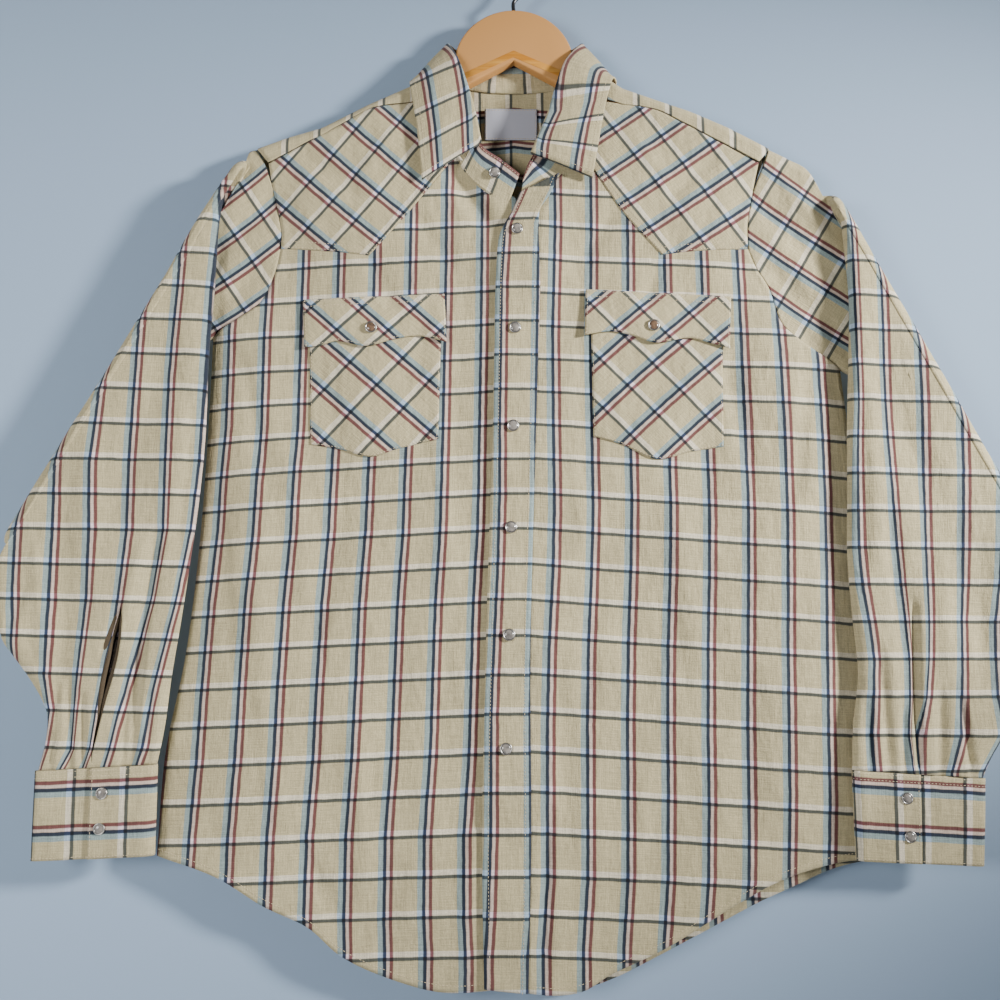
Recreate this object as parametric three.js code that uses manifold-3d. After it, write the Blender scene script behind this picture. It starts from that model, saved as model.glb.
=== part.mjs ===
// A long-sleeved western shirt with pearl snaps, hung by its collar on a wooden hanger.
// Millimetres, +Z up. The origin is the inside top of the hanger's hook, +X is to the
// viewer's right and the shirt's front faces -Y.
import * as THREE from 'three'
import Module from 'manifold-3d'
import { mergeVertices } from 'three/addons/utils/BufferGeometryUtils.js'

const wasm = await Module()
wasm.setup()

// A table: the names of its columns, then its rows
function table(names, ...rows) {
  return rows.map((row) => Object.fromEntries(names.map((name, i) => [name, row[i]])))
}
const XZ = ['x', 'z']

// Cloth and seams
const CLOTH = 1.2 // wall of one layer of cloth
const BAND = 1.6 // wall of a stiffened double layer: collar, cuffs, front band
const SEAM = 0.3 // gap between neighbouring pieces
const TRIM_FINENESS = 0.02 // detail below this is dropped where one piece trims another
const LABEL = { wall: 1, width: 53.5, height: 34, x: -3, z: -176 }

// Body
const ARMHOLE_HALF = 6 // half depth where the sleeves join
const RIDGE_DROP = 10 // how far below the shoulder line the body reaches its full depth
const EDGE_REACH = 60 // how far from a side seam the cloth takes to reach full depth
const STAND_HEIGHT = 27

// Sleeves and cuffs
const SLEEVE_HALF = 6
const SLEEVE_ROUND = 14 // width of the rounded edge of a flattened sleeve
const FOLD_RADIUS = 7 // middle of the sleeve's wall-to-wall turn at its diagonal fold
const TIP_SLIDE = 14 // how far the top of the turned sleeve slides along the fold
const CUFF_ROUND = 9
const CUFF_LAP = 26
const SLIT_BINDING = 5
const SLIT_EDGE = 1.2 // how far the binding shows inside the slit

// Snaps
const SNAP_RADIUS = 6
const SNAP_HEIGHT = 2.4
const CUFF_SNAP_RADIUS = 5.6

// Hanger
const HUB_RADIUS = 60
const HANGER_THICK = 12
const WIRE = 2 // radius of the hook's wire
const HOOK_RADIUS = 18 // inside radius of the hook
const HOOK_STEPS = 26
const HUB_TOP = -60
const STEM_IN_HUB = 13
const EDGE = 2 // bevel of the wood's edges
const ARM_TOP = table(XZ, [61, -122], [78, -137], [104, -151], [142, -169.5], [190, -195], [206, -204])
const ARM_LOW = table(XZ, [209, -214], [203, -223], [170, -208], [104, -174], [44, -139.5], [0, -114.5])

const COLOURS = {
  cloth: 0xc4b693,
  cuff: 0xb9a98a,
  wood: 0xc48a45,
  steel: 0x4a4a4c,
  pearl: 0xc9c4ba,
  label: 0xb9b9be,
}

const V = (x, y, z) => new THREE.Vector3(x, y, z)
const toBack = () => V(0, 1, 0)
const toFront = () => V(0, -1, 0)
const clamp01 = (t) => Math.min(1, Math.max(0, t))
const mix = (a, b, t) => a + (b - a) * t
const smooth = (t) => clamp01(t) ** 2 * (3 - 2 * clamp01(t))

// Outlines of the wearer's right half, x counted outward from the middle
const RIGHT = {
  sign: -1,
  ridge: table(XZ, [78, -123], [104, -142], [142, -160], [190, -186], [224, -196], [254, -207]),
  strip: table(XZ, [242, -224], [223, -214], [197, -200], [169, -184], [142, -168], [104, -162], [72, -158]),
  armholeTop: table(XZ, [254, -207], [246, -224], [237, -250], [231, -274], [227, -297], [227, -310.5]),
  armholeLow: table(XZ, [227, -310.5], [232, -336], [245, -365], [261, -378], [276, -388], [291, -400]),
  yokeOuter: table(XZ, [227, -310.5], [180, -314], [141, -318]),
  yokeInner: table(XZ, [141, -318], [108, -279.5], [86, -252], [57, -213]),
  neckEdge: table(XZ, [57, -213], [44, -229], [20, -249], [-3, -262]),
  middleEdge: table(XZ, [-3, -262], [-12, -330], [-8, -600], [-2, -850], [0, -992]),
  side: table(XZ, [291, -400], [292, -483], [296, -600], [305, -705], [319, -789], [323, -881]),
  hem: table(
    XZ, [323, -881], [269, -898], [225, -923], [184, -942], [154, -966], [104, -987], [60, -996],
    [0, -992],
  ),
  backHem: table(
    XZ, [323, -881], [269, -896], [225, -920], [184, -939], [154, -962], [104, -985], [60, -994],
    [0, -998],
  ),
  capTop: table(XZ, [254, -207], [262, -210], [267, -213]),
  foldTip: { x: 267, z: -213 },
  foldEnd: { x: 479, z: -597 },
  lower: table(
    ['ax', 'az', 'bx', 'bz', 'y'],
    [276, -238, 477, -618, -14],
    [284.5, -275, 475.5, -643, -14],
    [287.5, -350, 473, -672, -14],
    [290.5, -425, 468, -690, -13.6],
    [291, -500, 459, -702, -13],
    [295, -565, 447, -717, -12.5],
    [301, -622, 437, -731, -12],
    [307, -675, 429, -744, -12],
    [313, -722, 424, -757, -12],
    [317, -765, 424, -778, -12],
    [322.5, -799, 429, -804.5, -12],
  ),
  cuff: {
    topIn: [322, -799.35],
    topOut: [432, -805.05],
    lowIn: [321, -878],
    lowOut: [431, -883],
    y: -12,
    lap: 380,
  },
  pocket: {
    top: table(XZ, [197, -376], [70, -371]),
    low: table(XZ, [193, -506], [164, -511], [136, -518], [110, -510.5], [72, -501.5]),
  },
  flap: {
    top: table(XZ, [203.5, -365], [67.5, -359.6]),
    low: table(
      XZ, [200.5, -412], [186, -411], [170, -406.5], [140, -411.5], [112, -404], [92, -401.5],
      [64.6, -407.5],
    ),
  },
  flapSnap: { x: 137, z: -393.5 },
  cuffSnaps: table(XZ, [368.5, -824], [369, -854.5]),
}

// Outlines of the wearer's left half
const LEFT = {
  sign: 1,
  ridge: table(XZ, [78, -123], [108, -144], [140, -156], [174, -168], [211, -185], [252, -207]),
  strip: table(XZ, [241, -223], [222, -213], [197, -200], [169, -184], [142, -170], [104, -163], [72, -158]),
  armholeTop: table(XZ, [252, -207], [247, -222], [233, -258], [228, -285], [227, -311]),
  armholeLow: table(XZ, [227, -311], [234, -330], [246, -351], [257, -386], [272, -401], [313, -431]),
  yokeOuter: table(XZ, [227, -311], [174, -314], [143, -317.5]),
  yokeInner: table(XZ, [143, -317.5], [108, -276], [80, -234], [58, -206]),
  neckEdge: table(XZ, [58, -206], [46, -237], [30, -248], [6, -258]),
  middleEdge: table(XZ, [6, -258], [-14, -316], [-20, -492], [-26, -696], [-28, -865], [-26, -990]),
  side: table(XZ, [313, -431], [318, -500], [317, -600], [319, -700], [323, -800], [326, -884]),
  hem: table(
    XZ, [326, -884], [290, -886], [235, -902], [198, -921], [131, -960], [84, -981], [59, -995],
    [30, -998], [-26, -990],
  ),
  backHem: table(
    XZ, [326, -884], [290, -893], [252, -909], [218, -924], [136, -965], [90, -987], [59, -997],
    [30, -999], [0, -998],
  ),
  capTop: table(XZ, [252, -207], [271, -217], [289, -228], [312, -249]),
  foldTip: { x: 312, z: -249 },
  foldEnd: { x: 492, z: -606 },
  lower: table(
    ['ax', 'az', 'bx', 'bz', 'y'],
    [314, -276, 491, -626, -14],
    [317.5, -309, 489.5, -645, -14],
    [320, -367, 487, -668, -14],
    [317, -424, 482.5, -688, -13.8],
    [313, -482, 477, -705, -13.6],
    [310, -548, 470, -722, -13.6],
    [307, -612, 460, -739, -13.6],
    [309, -670, 449, -757, -13.6],
    [311.5, -719, 438, -778, -13.6],
    [305, -764, 427, -795, -13.6],
    [302, -804, 419, -811, -13.6],
  ),
  cuff: {
    topIn: [302, -804.35],
    topOut: [421, -811.5],
    lowIn: [302, -882],
    lowOut: [415, -887],
    y: -13.6,
    lap: 361,
  },
  pocket: {
    top: table(XZ, [200, -374], [73, -367]),
    low: table(XZ, [197, -508], [166, -513], [134, -520.5], [101, -506.5], [74, -498.5]),
  },
  flap: {
    top: table(XZ, [208, -362], [68.4, -355]),
    low: table(
      XZ, [205.5, -413], [188, -408.5], [166, -403.5], [134, -408.5], [108, -400], [92, -397],
      [66.6, -401],
    ),
  },
  flapSnap: { x: 132.5, z: -391.5 },
  cuffSnaps: table(XZ, [347.5, -828], [348.5, -861]),
}

// The front band, its snaps and the body's depth
const BAND_EDGES = {
  inner: table(
    XZ, [5.5, -257], [-2.5, -277], [-10, -290], [-15, -303], [-18, -345], [-21, -492], [-27, -696],
    [-30, -865], [-28, -992],
  ),
  outer: table(
    XZ, [44, -238.5], [33, -263], [25, -275], [23.5, -290], [24.5, -345], [20, -492], [14, -696],
    [14, -865], [11, -996],
  ),
}
const BAND_SNAPS = table(
  XZ, [2.5, -295], [0.4, -393.5], [-1.7, -489], [-3.7, -585], [-5.7, -684], [-8.6, -786],
)
const COLLAR_SNAP = { x: -19.5, z: -236.5 }
const DEPTHS = table(
  ['z', 'half'], [-120, 9.4], [-260, 9.4], [-450, 10], [-700, 9], [-900, 7.4], [-1010, 6.6],
)

// Largest soft folds of the body: from one end to the other, width across and depth (+ is outward)
const FOLD_COLUMNS = ['x0', 'z0', 'x1', 'z1', 'width', 'depth']
const FRONT_FOLDS = table(
  FOLD_COLUMNS,
  [-66, -224, -26, -288, 10, -4.5],
  [-225, -330, -150, -560, 26, -1.6],
  [232, -345, 165, -570, 26, -1.8],
  [-270, -430, -235, -800, 34, 1.3],
  [275, -470, 240, -820, 34, 1.4],
  [-95, -560, -110, -960, 30, -1.4],
  [92, -540, 118, -950, 30, -1.5],
  [-48, -330, -50, -900, 20, -0.9],
)
const BACK_FOLDS = table(
  FOLD_COLUMNS,
  [-215, -340, -130, -640, 28, -1.8],
  [210, -345, 140, -640, 28, -1.7],
  [-60, -380, -75, -940, 30, 1.4],
  [70, -360, 60, -950, 30, 1.5],
  [-250, -500, -225, -860, 32, 1.3],
  [255, -520, 230, -860, 32, 1.2],
)
// Folds of the hanging sleeves in front, x counted outward: pleats at the cuff and soft creases
const RIGHT_SLEEVE_FOLDS = table(
  FOLD_COLUMNS,
  [341, -690, 345, -810, 5, -2.2],
  [404, -725, 400, -810, 5, -2.2],
  [330, -430, 410, -690, 16, -1.6],
  [305, -300, 318, -600, 14, 1.2],
)
const LEFT_SLEEVE_FOLDS = table(
  FOLD_COLUMNS,
  [332, -700, 335, -812, 5, -2.2],
  [384, -735, 380, -815, 5, -2.4],
  [345, -420, 425, -690, 16, -1.6],
  [330, -330, 330, -620, 14, 1.2],
)

// The collar stand, from its end on the wearer's right round the back of the neck to its
// end on the left: neck seam, top edge, and the free edge of the leaf that falls from it
const COLLAR = table(
  ['sx', 'sy', 'sz', 'tx', 'ty', 'tz', 'ex', 'ey', 'ez', 'leaf'],
  [-3, -10.6, -260, 5, -13.2, -238, 0, 0, 0, 0],
  [-22, -10.2, -247, -13, -13, -223, 0, 0, 0, 0],
  [-43, -9.4, -228, -33, -13, -207, -90, -15.5, -245, 1],
  [-62, -9, -180, -42.5, -13, -165, -95.5, -15.5, -192, 1],
  [-75, -8.8, -137, -57, -10.5, -119, -103.5, -11.5, -142, 1],
  [-79.5, 0, -122, -65, 0, -97, -103, 1, -136.5, 1],
  [-66, 8.4, -130, -56, 10, -97, -92, 14, -141, 1],
  [0, 8.8, -139, 0, 11.2, -101, 0, 16.5, -147, 1],
  [66, 8.4, -130, 56, 10, -97, 92, 14, -141, 1],
  [80, 0, -122, 67, 0, -97, 103, 1, -136.5, 1],
  [76, -8.8, -137, 52, -10.5, -122, 99, -11.5, -136, 1],
  [64, -9, -180, 35, -13, -176, 91.5, -15.5, -160, 1],
  [46, -9.4, -236, 18, -13.2, -219, 76, -15.5, -243.5, 1],
  [27, -10.4, -247, 13, -13.4, -229, 0, 0, 0, 0],
  [7, -10.8, -256, 9, -13.4, -243, 0, 0, 0, 0],
)

// A smooth curve through the rows of a table, by share of its length
function curveOf(rows, sign = 1) {
  const points = rows.map((row) => V(sign * row.x, 0, row.z))
  return new THREE.CatmullRomCurve3(points, false, 'centripetal')
}

// Stretches that meet at corners, joined into one route by share of the whole length
function route(...curves) {
  const lengths = curves.map((curve) => curve.getLength())
  const total = lengths.reduce((sum, length) => sum + length, 0)
  const corners = [0]
  for (const length of lengths) corners.push(corners.at(-1) + length / total)
  const at = (u) => {
    const inside = clamp01(u)
    const next = corners.findIndex((corner, k) => k > 0 && inside <= corner + 1e-9)
    const k = next < 0 ? curves.length - 1 : next - 1
    const share = clamp01((inside - corners[k]) / (corners[k + 1] - corners[k]))
    const point = curves[k].getPointAt(share)
    return u === inside ? point : point.addScaledVector(curves[k].getTangentAt(share), (u - inside) * total)
  }
  return { at, length: total, corners }
}

// Shares of a route with the given number of steps in each stretch, so that corners are kept
function stations(path, counts) {
  const values = [0]
  counts.forEach((count, k) => {
    for (let i = 1; i <= count; i += 1) values.push(mix(path.corners[k], path.corners[k + 1], i / count))
  })
  return values
}

// A point inside four routes: top and bottom run the same way, left and right both run down
function patch({ top, bottom, left, right }, s, t) {
  const sum = top.at(s).multiplyScalar(1 - t).addScaledVector(bottom.at(s), t)
  sum.addScaledVector(left.at(t), 1 - s).addScaledVector(right.at(t), s)
  sum.addScaledVector(top.at(0), -(1 - s) * (1 - t)).addScaledVector(top.at(1), -s * (1 - t))
  return sum.addScaledVector(bottom.at(0), -(1 - s) * t).addScaledVector(bottom.at(1), -s * t)
}

// A closed mesh from points and triangles, turned so that its faces point outwards
function closedMesh(points, triangles) {
  let volume = 0
  for (const [a, b, c] of triangles) volume += points[a].dot(V(0, 0, 0).crossVectors(points[b], points[c]))
  const index = triangles.flatMap(([a, b, c]) => (volume > 0 ? [a, b, c] : [a, c, b]))
  const geometry = new THREE.BufferGeometry()
  const places = points.flatMap((p) => [p.x, p.y, p.z])
  geometry.setAttribute('position', new THREE.Float32BufferAttribute(places, 3))
  geometry.setIndex(index)
  return geometry
}

// Unit normals of a grid of points, from the differences between neighbours
function gridNormals(grid, closed) {
  const last = grid.length - 1
  return grid.map((row, i) =>
    row.map((_, j) => {
      const n = row.length
      const before = closed ? row[(j + n - 1) % n] : row[Math.max(0, j - 1)]
      const after = closed ? row[(j + 1) % n] : row[Math.min(n - 1, j + 1)]
      const along = grid[Math.min(last, i + 1)][j].clone().sub(grid[Math.max(0, i - 1)][j])
      return along.cross(after.clone().sub(before)).normalize()
    }),
  )
}

// A wall of even thickness behind a grid of points on its outer face
function wall(grid, thickness, inward, closed = false, grow = 0) {
  const normals = gridNormals(grid, closed)
  const middle = Math.floor(grid.length / 2)
  const column = Math.floor(grid[0].length / 3)
  const turn = normals[middle][column].dot(inward(grid[middle][column])) > 0 ? 1 : -1
  const shifted = (p, normal, reach) => p.clone().addScaledVector(normal, turn * reach)
  const moved = (reach) => grid.map((row, i) => row.map((p, j) => shifted(p, normals[i][j], reach)))
  return shellOf(moved(-grow), moved(thickness + grow), closed)
}

// The closed shell between an outer and an inner grid of points
function shellOf(outer, inner, closed) {
  const rows = outer.length
  const columns = outer[0].length
  const points = [...outer.flat(), ...inner.flat()]
  const far = rows * columns
  const triangles = []
  const quad = (a, b, c, d) => triangles.push([a, b, c], [a, c, d])
  const id = (i, j) => i * columns + (j % columns)
  const spans = closed ? columns : columns - 1
  for (let i = 0; i < rows - 1; i += 1) {
    for (let j = 0; j < spans; j += 1) {
      quad(id(i, j), id(i, j + 1), id(i + 1, j + 1), id(i + 1, j))
      quad(far + id(i, j), far + id(i + 1, j), far + id(i + 1, j + 1), far + id(i, j + 1))
    }
  }
  for (let j = 0; j < spans; j += 1) {
    quad(id(0, j + 1), id(0, j), far + id(0, j), far + id(0, j + 1))
    quad(id(rows - 1, j), id(rows - 1, j + 1), far + id(rows - 1, j + 1), far + id(rows - 1, j))
  }
  if (!closed) {
    for (let i = 0; i < rows - 1; i += 1) {
      quad(id(i, 0), id(i + 1, 0), far + id(i + 1, 0), far + id(i, 0))
      quad(id(i + 1, columns - 1), id(i, columns - 1), far + id(i, columns - 1), far + id(i + 1, columns - 1))
    }
  }
  return closedMesh(points, triangles)
}

// Height of a table's curve at a place along another of its columns
function lookUp(rows, key, value, place) {
  const ordered = [...rows].sort((a, b) => a[key] - b[key])
  const i = ordered.findIndex((row) => row[key] >= place)
  if (i === 0) return ordered[0][value]
  if (i < 0) return ordered.at(-1)[value]
  const share = (place - ordered[i - 1][key]) / (ordered[i][key] - ordered[i - 1][key])
  return mix(ordered[i - 1][value], ordered[i][value], share)
}

// How far soft folds move the cloth outward at a place
function foldsAt(folds, x, z) {
  let sum = 0
  for (const fold of folds) {
    const dx = fold.x1 - fold.x0
    const dz = fold.z1 - fold.z0
    const along = ((x - fold.x0) * dx + (z - fold.z0) * dz) / (dx * dx + dz * dz)
    const near = clamp01(along)
    const gap = Math.hypot(x - fold.x0 - dx * near, z - fold.z0 - dz * near)
    const fade = smooth(Math.min(along + 0.25, 1.25 - along) / 0.5)
    sum += fold.depth * fade * Math.exp(-((gap / fold.width) ** 2))
  }
  return sum
}

// Half depth of the body far from its edges, and its rise from an edge
const fullDepth = (z) => lookUp(DEPTHS, 'z', 'half', z)
const rise = (edge, full, gap) => edge + (full - edge) * (1 - (1 - clamp01(gap / EDGE_REACH)) ** 2)

// Half depth of the rounded edge of a flattened tube, at a distance from that edge
const roundEdge = (gap, round, half) => half * Math.sqrt(1 - (1 - clamp01(gap / round)) ** 2)

const CLOSED_EDGE = CLOTH + SEAM / 2
const GAP_SHARE = 0.2

// Half depth along an armhole and side seam, from how far a place is below the underarm
function sideDepth(side, point) {
  const under = side.armholeLow.at(-1)
  if (point.z <= under.z) return CLOSED_EDGE
  const gap = Math.hypot(Math.abs(point.x) - under.x, point.z - under.z)
  return Math.max(CLOSED_EDGE, roundEdge(gap, SLEEVE_ROUND, ARMHOLE_HALF))
}

const frontDepth = (x, z) => fullDepth(z) + foldsAt(FRONT_FOLDS, x, z)
// The left front rises over the right one towards the band
const LAP = { start: 54, reach: 26 }
const lapLift = (x) => (CLOTH + 2 * SEAM) * smooth((LAP.start - x) / LAP.reach)

// One front, from its armhole and side seam to the middle
function frontPanel(side, overlap) {
  const { sign } = side
  const top = route(...[side.yokeOuter, side.yokeInner, side.neckEdge].map((rows) => curveOf(rows, sign)))
  const left = route(curveOf(side.armholeLow, sign), curveOf(side.side, sign))
  const right = route(curveOf(side.middleEdge, sign))
  const bottom = route(curveOf(side.hem, sign))
  const edges = { top, bottom, left, right }
  const across = spread(stations(top, [4, 5, 3]), top.length)
  const down = spread(stations(left, [4, 12]), left.length)
  return down.map((t) =>
    across.map((s) => {
      const point = patch(edges, s, t)
      const edge = left.at(t)
      const full = frontDepth(point.x, point.z) + (overlap ? lapLift(point.x) : 0)
      const depth = rise(sideDepth(side, edge), full, point.distanceTo(edge))
      return V(point.x, -depth, point.z)
    }),
  )
}

// Keeps the first and last shares of a route a little inside its ends, for the seam gap
function spread(values, length, grow = 0) {
  const inset = (GAP_SHARE - grow) / length
  return values.map((value) => mix(inset, 1 - inset, value))
}

const YOKE_NECK_BEND = { x: 64, z: -185 } // where a front yoke's neck edge bends

// The pointed front yoke, between the shoulder strip, neck, armhole and its lower edge
function frontYoke(side) {
  const { sign } = side
  const top = route(curveOf(side.strip, sign))
  const bottom = route(curveOf(side.yokeOuter, sign), curveOf(side.yokeInner, sign))
  const start = side.strip[0]
  const left = route(curveOf([start, ...side.armholeTop.slice(2)], sign))
  const neck = side.strip.at(-1)
  const right = route(curveOf([neck, YOKE_NECK_BEND, side.yokeInner.at(-1)], sign))
  const edges = { top, bottom, left, right }
  const across = spread(stations(bottom, [4, 5]), top.length)
  const down = spread(stations(left, [5]), left.length)
  return down.map((t) =>
    across.map((s) => {
      const point = patch(edges, s, t)
      const gap = point.distanceTo(left.at(t))
      const full = frontDepth(point.x, point.z)
      return V(point.x, -rise(ARMHOLE_HALF, full, gap), point.z)
    }),
  )
}

// Height of the shoulder line, level with the collar in the middle
function ridgeAt(x) {
  const side = x < 0 ? RIGHT : LEFT
  return lookUp(side.ridge, 'x', 'z', Math.max(78, Math.abs(x)))
}

// A point of the back yoke from its distance below the shoulder line, negative in front
function overShoulder(x, below) {
  const side = x < 0 ? RIGHT : LEFT
  const end = side.armholeTop[0].x
  const drop = Math.abs(below)
  const z = ridgeAt(x) - drop
  const folds = below > 0 ? foldsAt(BACK_FOLDS, x, z) : foldsAt(FRONT_FOLDS, x, z)
  const full = rise(ARMHOLE_HALF, fullDepth(z) + folds, end - Math.abs(x))
  const depth = roundEdge(drop, RIDGE_DROP, full)
  return V(x, Math.sign(below) * depth, z)
}

const YOKE_LENGTH = 110
const BACK_YOKE_POINT = -335
const BACK_YOKE_SIDE = -292
const BACK_YOKE_EDGE = 229
const BACK_YOKE_HALF = [BACK_YOKE_EDGE, 150, 70] // places along half of its lower seam
const BACK_NECK = {
  places: [-81, -72, -45, 0, 45, 72, 81],
  end: 81,
  middleForward: 16.5,
  endForward: 4,
  bend: 2.2,
}
const NECK_STRIP = table(XZ, [72, -158], [77, -139], [81, -126]) // inner end of the shoulder strip
// Rows of the back yoke from its front edge, with 1 on the shoulder line
const YOKE_ROWS = [0, 0.35, 0.65, 0.85, 0.95, 1, 1.05, 1.15, 1.35, 1.7, 2.7, 4, 5.4, 7]

// Height of the seam between the back yoke and the back
const backSeam = (x) => mix(BACK_YOKE_POINT, BACK_YOKE_SIDE, Math.abs(x) / BACK_YOKE_EDGE)

// The back yoke: two shoulder tabs that reach over to the front, and the back above its seam
function backYoke(grow = 0) {
  const below = (p, front) => V(p.x, 0, (front ? -1 : 1) * (ridgeAt(p.x) - p.z))
  const flat = (rows, sign, front) => rows.map((row) => below({ x: sign * row.x, z: row.z }, front))
  const curve = (points) => new THREE.CatmullRomCurve3(points, false, 'centripetal')
  const neckPoints = (sign) => flat(NECK_STRIP, sign, true)
  const { places, end, middleForward, endForward, bend } = BACK_NECK
  const backNeck = places.map((x) => V(x, 0, mix(middleForward, endForward, Math.abs(x / end) ** bend)))
  const top = route(
    curve(flat(RIGHT.strip, -1, true)),
    curve([...neckPoints(-1), ...backNeck, ...neckPoints(1).reverse()]),
    curve(flat([...LEFT.strip].reverse(), 1, true)),
  )
  const sideOf = (side) => {
    const front = [side.strip[0], { x: side.armholeTop[0].x - 4, z: side.armholeTop[0].z - 7 }]
    const points = flat(front, side.sign, true)
    points.push(V(side.sign * side.armholeTop[0].x, 0, 0))
    const lowest = { x: BACK_YOKE_EDGE, z: BACK_YOKE_SIDE }
    return route(curve([...points, ...flat([...side.armholeTop.slice(1, 4), lowest], side.sign, false)]))
  }
  const lowest = (x) => below({ x, z: backSeam(x) }, false)
  const bottom = route(
    curve([...BACK_YOKE_HALF.map((x) => lowest(-x)), lowest(0)]),
    curve([lowest(0), ...[...BACK_YOKE_HALF].reverse().map(lowest)]),
  )
  const edges = { top, bottom, left: sideOf(RIGHT), right: sideOf(LEFT) }
  const across = spread(stations(top, [6, 12, 6]), 2 * BACK_YOKE_EDGE, grow)
  const columns = across.map((s) => {
    const ridge = ridgeShare(edges, s)
    const last = YOKE_ROWS.at(-1)
    const down = YOKE_ROWS.map((row) => (row <= 1 ? row * ridge : mix(ridge, 1, (row - 1) / (last - 1))))
    return spread(down, YOKE_LENGTH, grow).map((t) => {
      const flatPoint = patch(edges, s, t)
      return overShoulder(flatPoint.x, flatPoint.z)
    })
  })
  return columns[0].map((_, i) => columns.map((column) => column[i]))
}

// Share of the way down the back yoke at which it passes over the shoulder line
function ridgeShare(edges, s) {
  let low = 0.06
  let high = 0.5
  if (patch(edges, s, low).z > 0) return low
  for (let i = 0; i < 30; i += 1) {
    const middle = (low + high) / 2
    if (patch(edges, s, middle).z > 0) high = middle
    else low = middle
  }
  return low
}

// The back below its yoke
function backPanel() {
  const lowest = (x) => ({ x, z: backSeam(x) })
  const top = route(
    curveOf([...BACK_YOKE_HALF.map((x) => lowest(-x)), lowest(0)]),
    curveOf([lowest(0), ...[...BACK_YOKE_HALF].reverse().map(lowest)]),
  )
  const sideOf = (side) => {
    const start = { x: BACK_YOKE_EDGE, z: BACK_YOKE_SIDE }
    return route(curveOf([start, ...side.armholeLow], side.sign), curveOf(side.side, side.sign))
  }
  const left = sideOf(RIGHT)
  const right = sideOf(LEFT)
  const bottom = route(curveOf(RIGHT.backHem, -1), curveOf([...LEFT.backHem].reverse(), 1))
  const edges = { top, bottom, left, right }
  const across = spread(stations(top, [9, 9]), 2 * BACK_YOKE_EDGE)
  const down = spread(stations(left, [5, 11]), left.length)
  return down.map((t) =>
    across.map((s) => {
      const point = patch(edges, s, t)
      const side = s < 0.5 ? RIGHT : LEFT
      const edge = (s < 0.5 ? left : right).at(t)
      const full = fullDepth(point.z) + foldsAt(BACK_FOLDS, point.x, point.z)
      return V(point.x, rise(sideDepth(side, edge), full, point.distanceTo(edge)), point.z)
    }),
  )
}

// A piece that lies on the front, made from the front's own points moved out
function onFront(edges, counts, lift) {
  const across = stations(edges.bottom, counts.across)
  const down = stations(edges.left, [counts.down])
  return down.map((t) =>
    across.map((s) => {
      const point = patch(edges, s, t)
      return V(point.x, -(frontDepth(point.x, point.z) + lift(point, s, t)), point.z)
    }),
  )
}

const straight = (a, b, sign) => route(curveOf([a, b], sign))

function pocketPanel(side) {
  const { top, low } = side.pocket
  const edges = {
    top: straight(top[0], top.at(-1), side.sign),
    bottom: route(curveOf(low, side.sign)),
    left: straight(top[0], low[0], side.sign),
    right: straight(top.at(-1), low.at(-1), side.sign),
  }
  return onFront(edges, { across: [6], down: 5 }, () => CLOTH + 2 * SEAM)
}

// The flap lies over the pocket's top and lifts a little towards its lower edge
function flapPanel(side) {
  const { top, low } = side.flap
  const edges = {
    top: straight(top[0], top.at(-1), side.sign),
    bottom: route(curveOf(low, side.sign)),
    left: straight(top[0], low[0], side.sign),
    right: straight(top.at(-1), low.at(-1), side.sign),
  }
  const wave = (s) => 1 + 0.8 * Math.cos(s * Math.PI * 4)
  const lift = (p, s, t) => BAND + CLOTH + 3 * SEAM + wave(s) * t * t
  return onFront(edges, { across: [12], down: 3 }, lift)
}

// The band's top turns outward towards the collar
const BAND_TURN = { start: -330, reach: 70, lift: 3 }

function bandPanel() {
  const inner = curveOf(BAND_EDGES.inner)
  const outer = curveOf(BAND_EDGES.outer)
  const ends = (a, b) => route(new THREE.LineCurve3(a.clone(), b.clone()))
  const edges = {
    top: ends(inner.getPointAt(0), outer.getPointAt(0)),
    bottom: ends(inner.getPointAt(1), outer.getPointAt(1)),
    left: route(inner),
    right: route(outer),
  }
  const turn = (p, s) => BAND_TURN.lift * smooth((p.z - BAND_TURN.start) / BAND_TURN.reach) * (0.3 + s)
  return onFront(edges, { across: [3], down: 20 }, (p, s) => BAND + CLOTH + 3 * SEAM + 0.2 + turn(p, s))
}

// The rounded section of a flattened tube: distance along its width and height above its middle
function tubeRing(width, round, half, steps) {
  const ring = []
  const quarter = 3
  for (const face of [-1, 1]) {
    const places = []
    for (let i = 0; i <= quarter; i += 1) {
      const angle = (i / quarter) * (Math.PI / 2)
      places.push([round * (1 - Math.cos(angle)), half * Math.sin(angle)])
    }
    for (let i = 1; i <= steps; i += 1) places.push([mix(round, width - round, i / steps), half])
    for (let i = 1; i < quarter; i += 1) {
      const angle = (1 - i / quarter) * (Math.PI / 2)
      places.push([width - round * (1 - Math.cos(angle)), half * Math.sin(angle)])
    }
    places.push([width, 0])
    if (face < 0) ring.push(...places.slice(0, -1).map(([a, n]) => [a, -n]))
    else ring.push(...places.slice(1).reverse().map(([a, n]) => [a, n]))
  }
  return ring
}

// The underarm edge behind the fold, bowed away from the body so that it leaves the armhole smoothly
function underarmRoute(start, end, out) {
  const bows = table(['share', 'bow'], [0, 0], [0.12, 9], [0.4, 17], [0.75, 11], [1, 0])
  const points = bows.map(({ share, bow }) => start.clone().lerp(end, share).addScaledVector(out, bow))
  return route(new THREE.CatmullRomCurve3(points, false, 'centripetal'))
}

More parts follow.
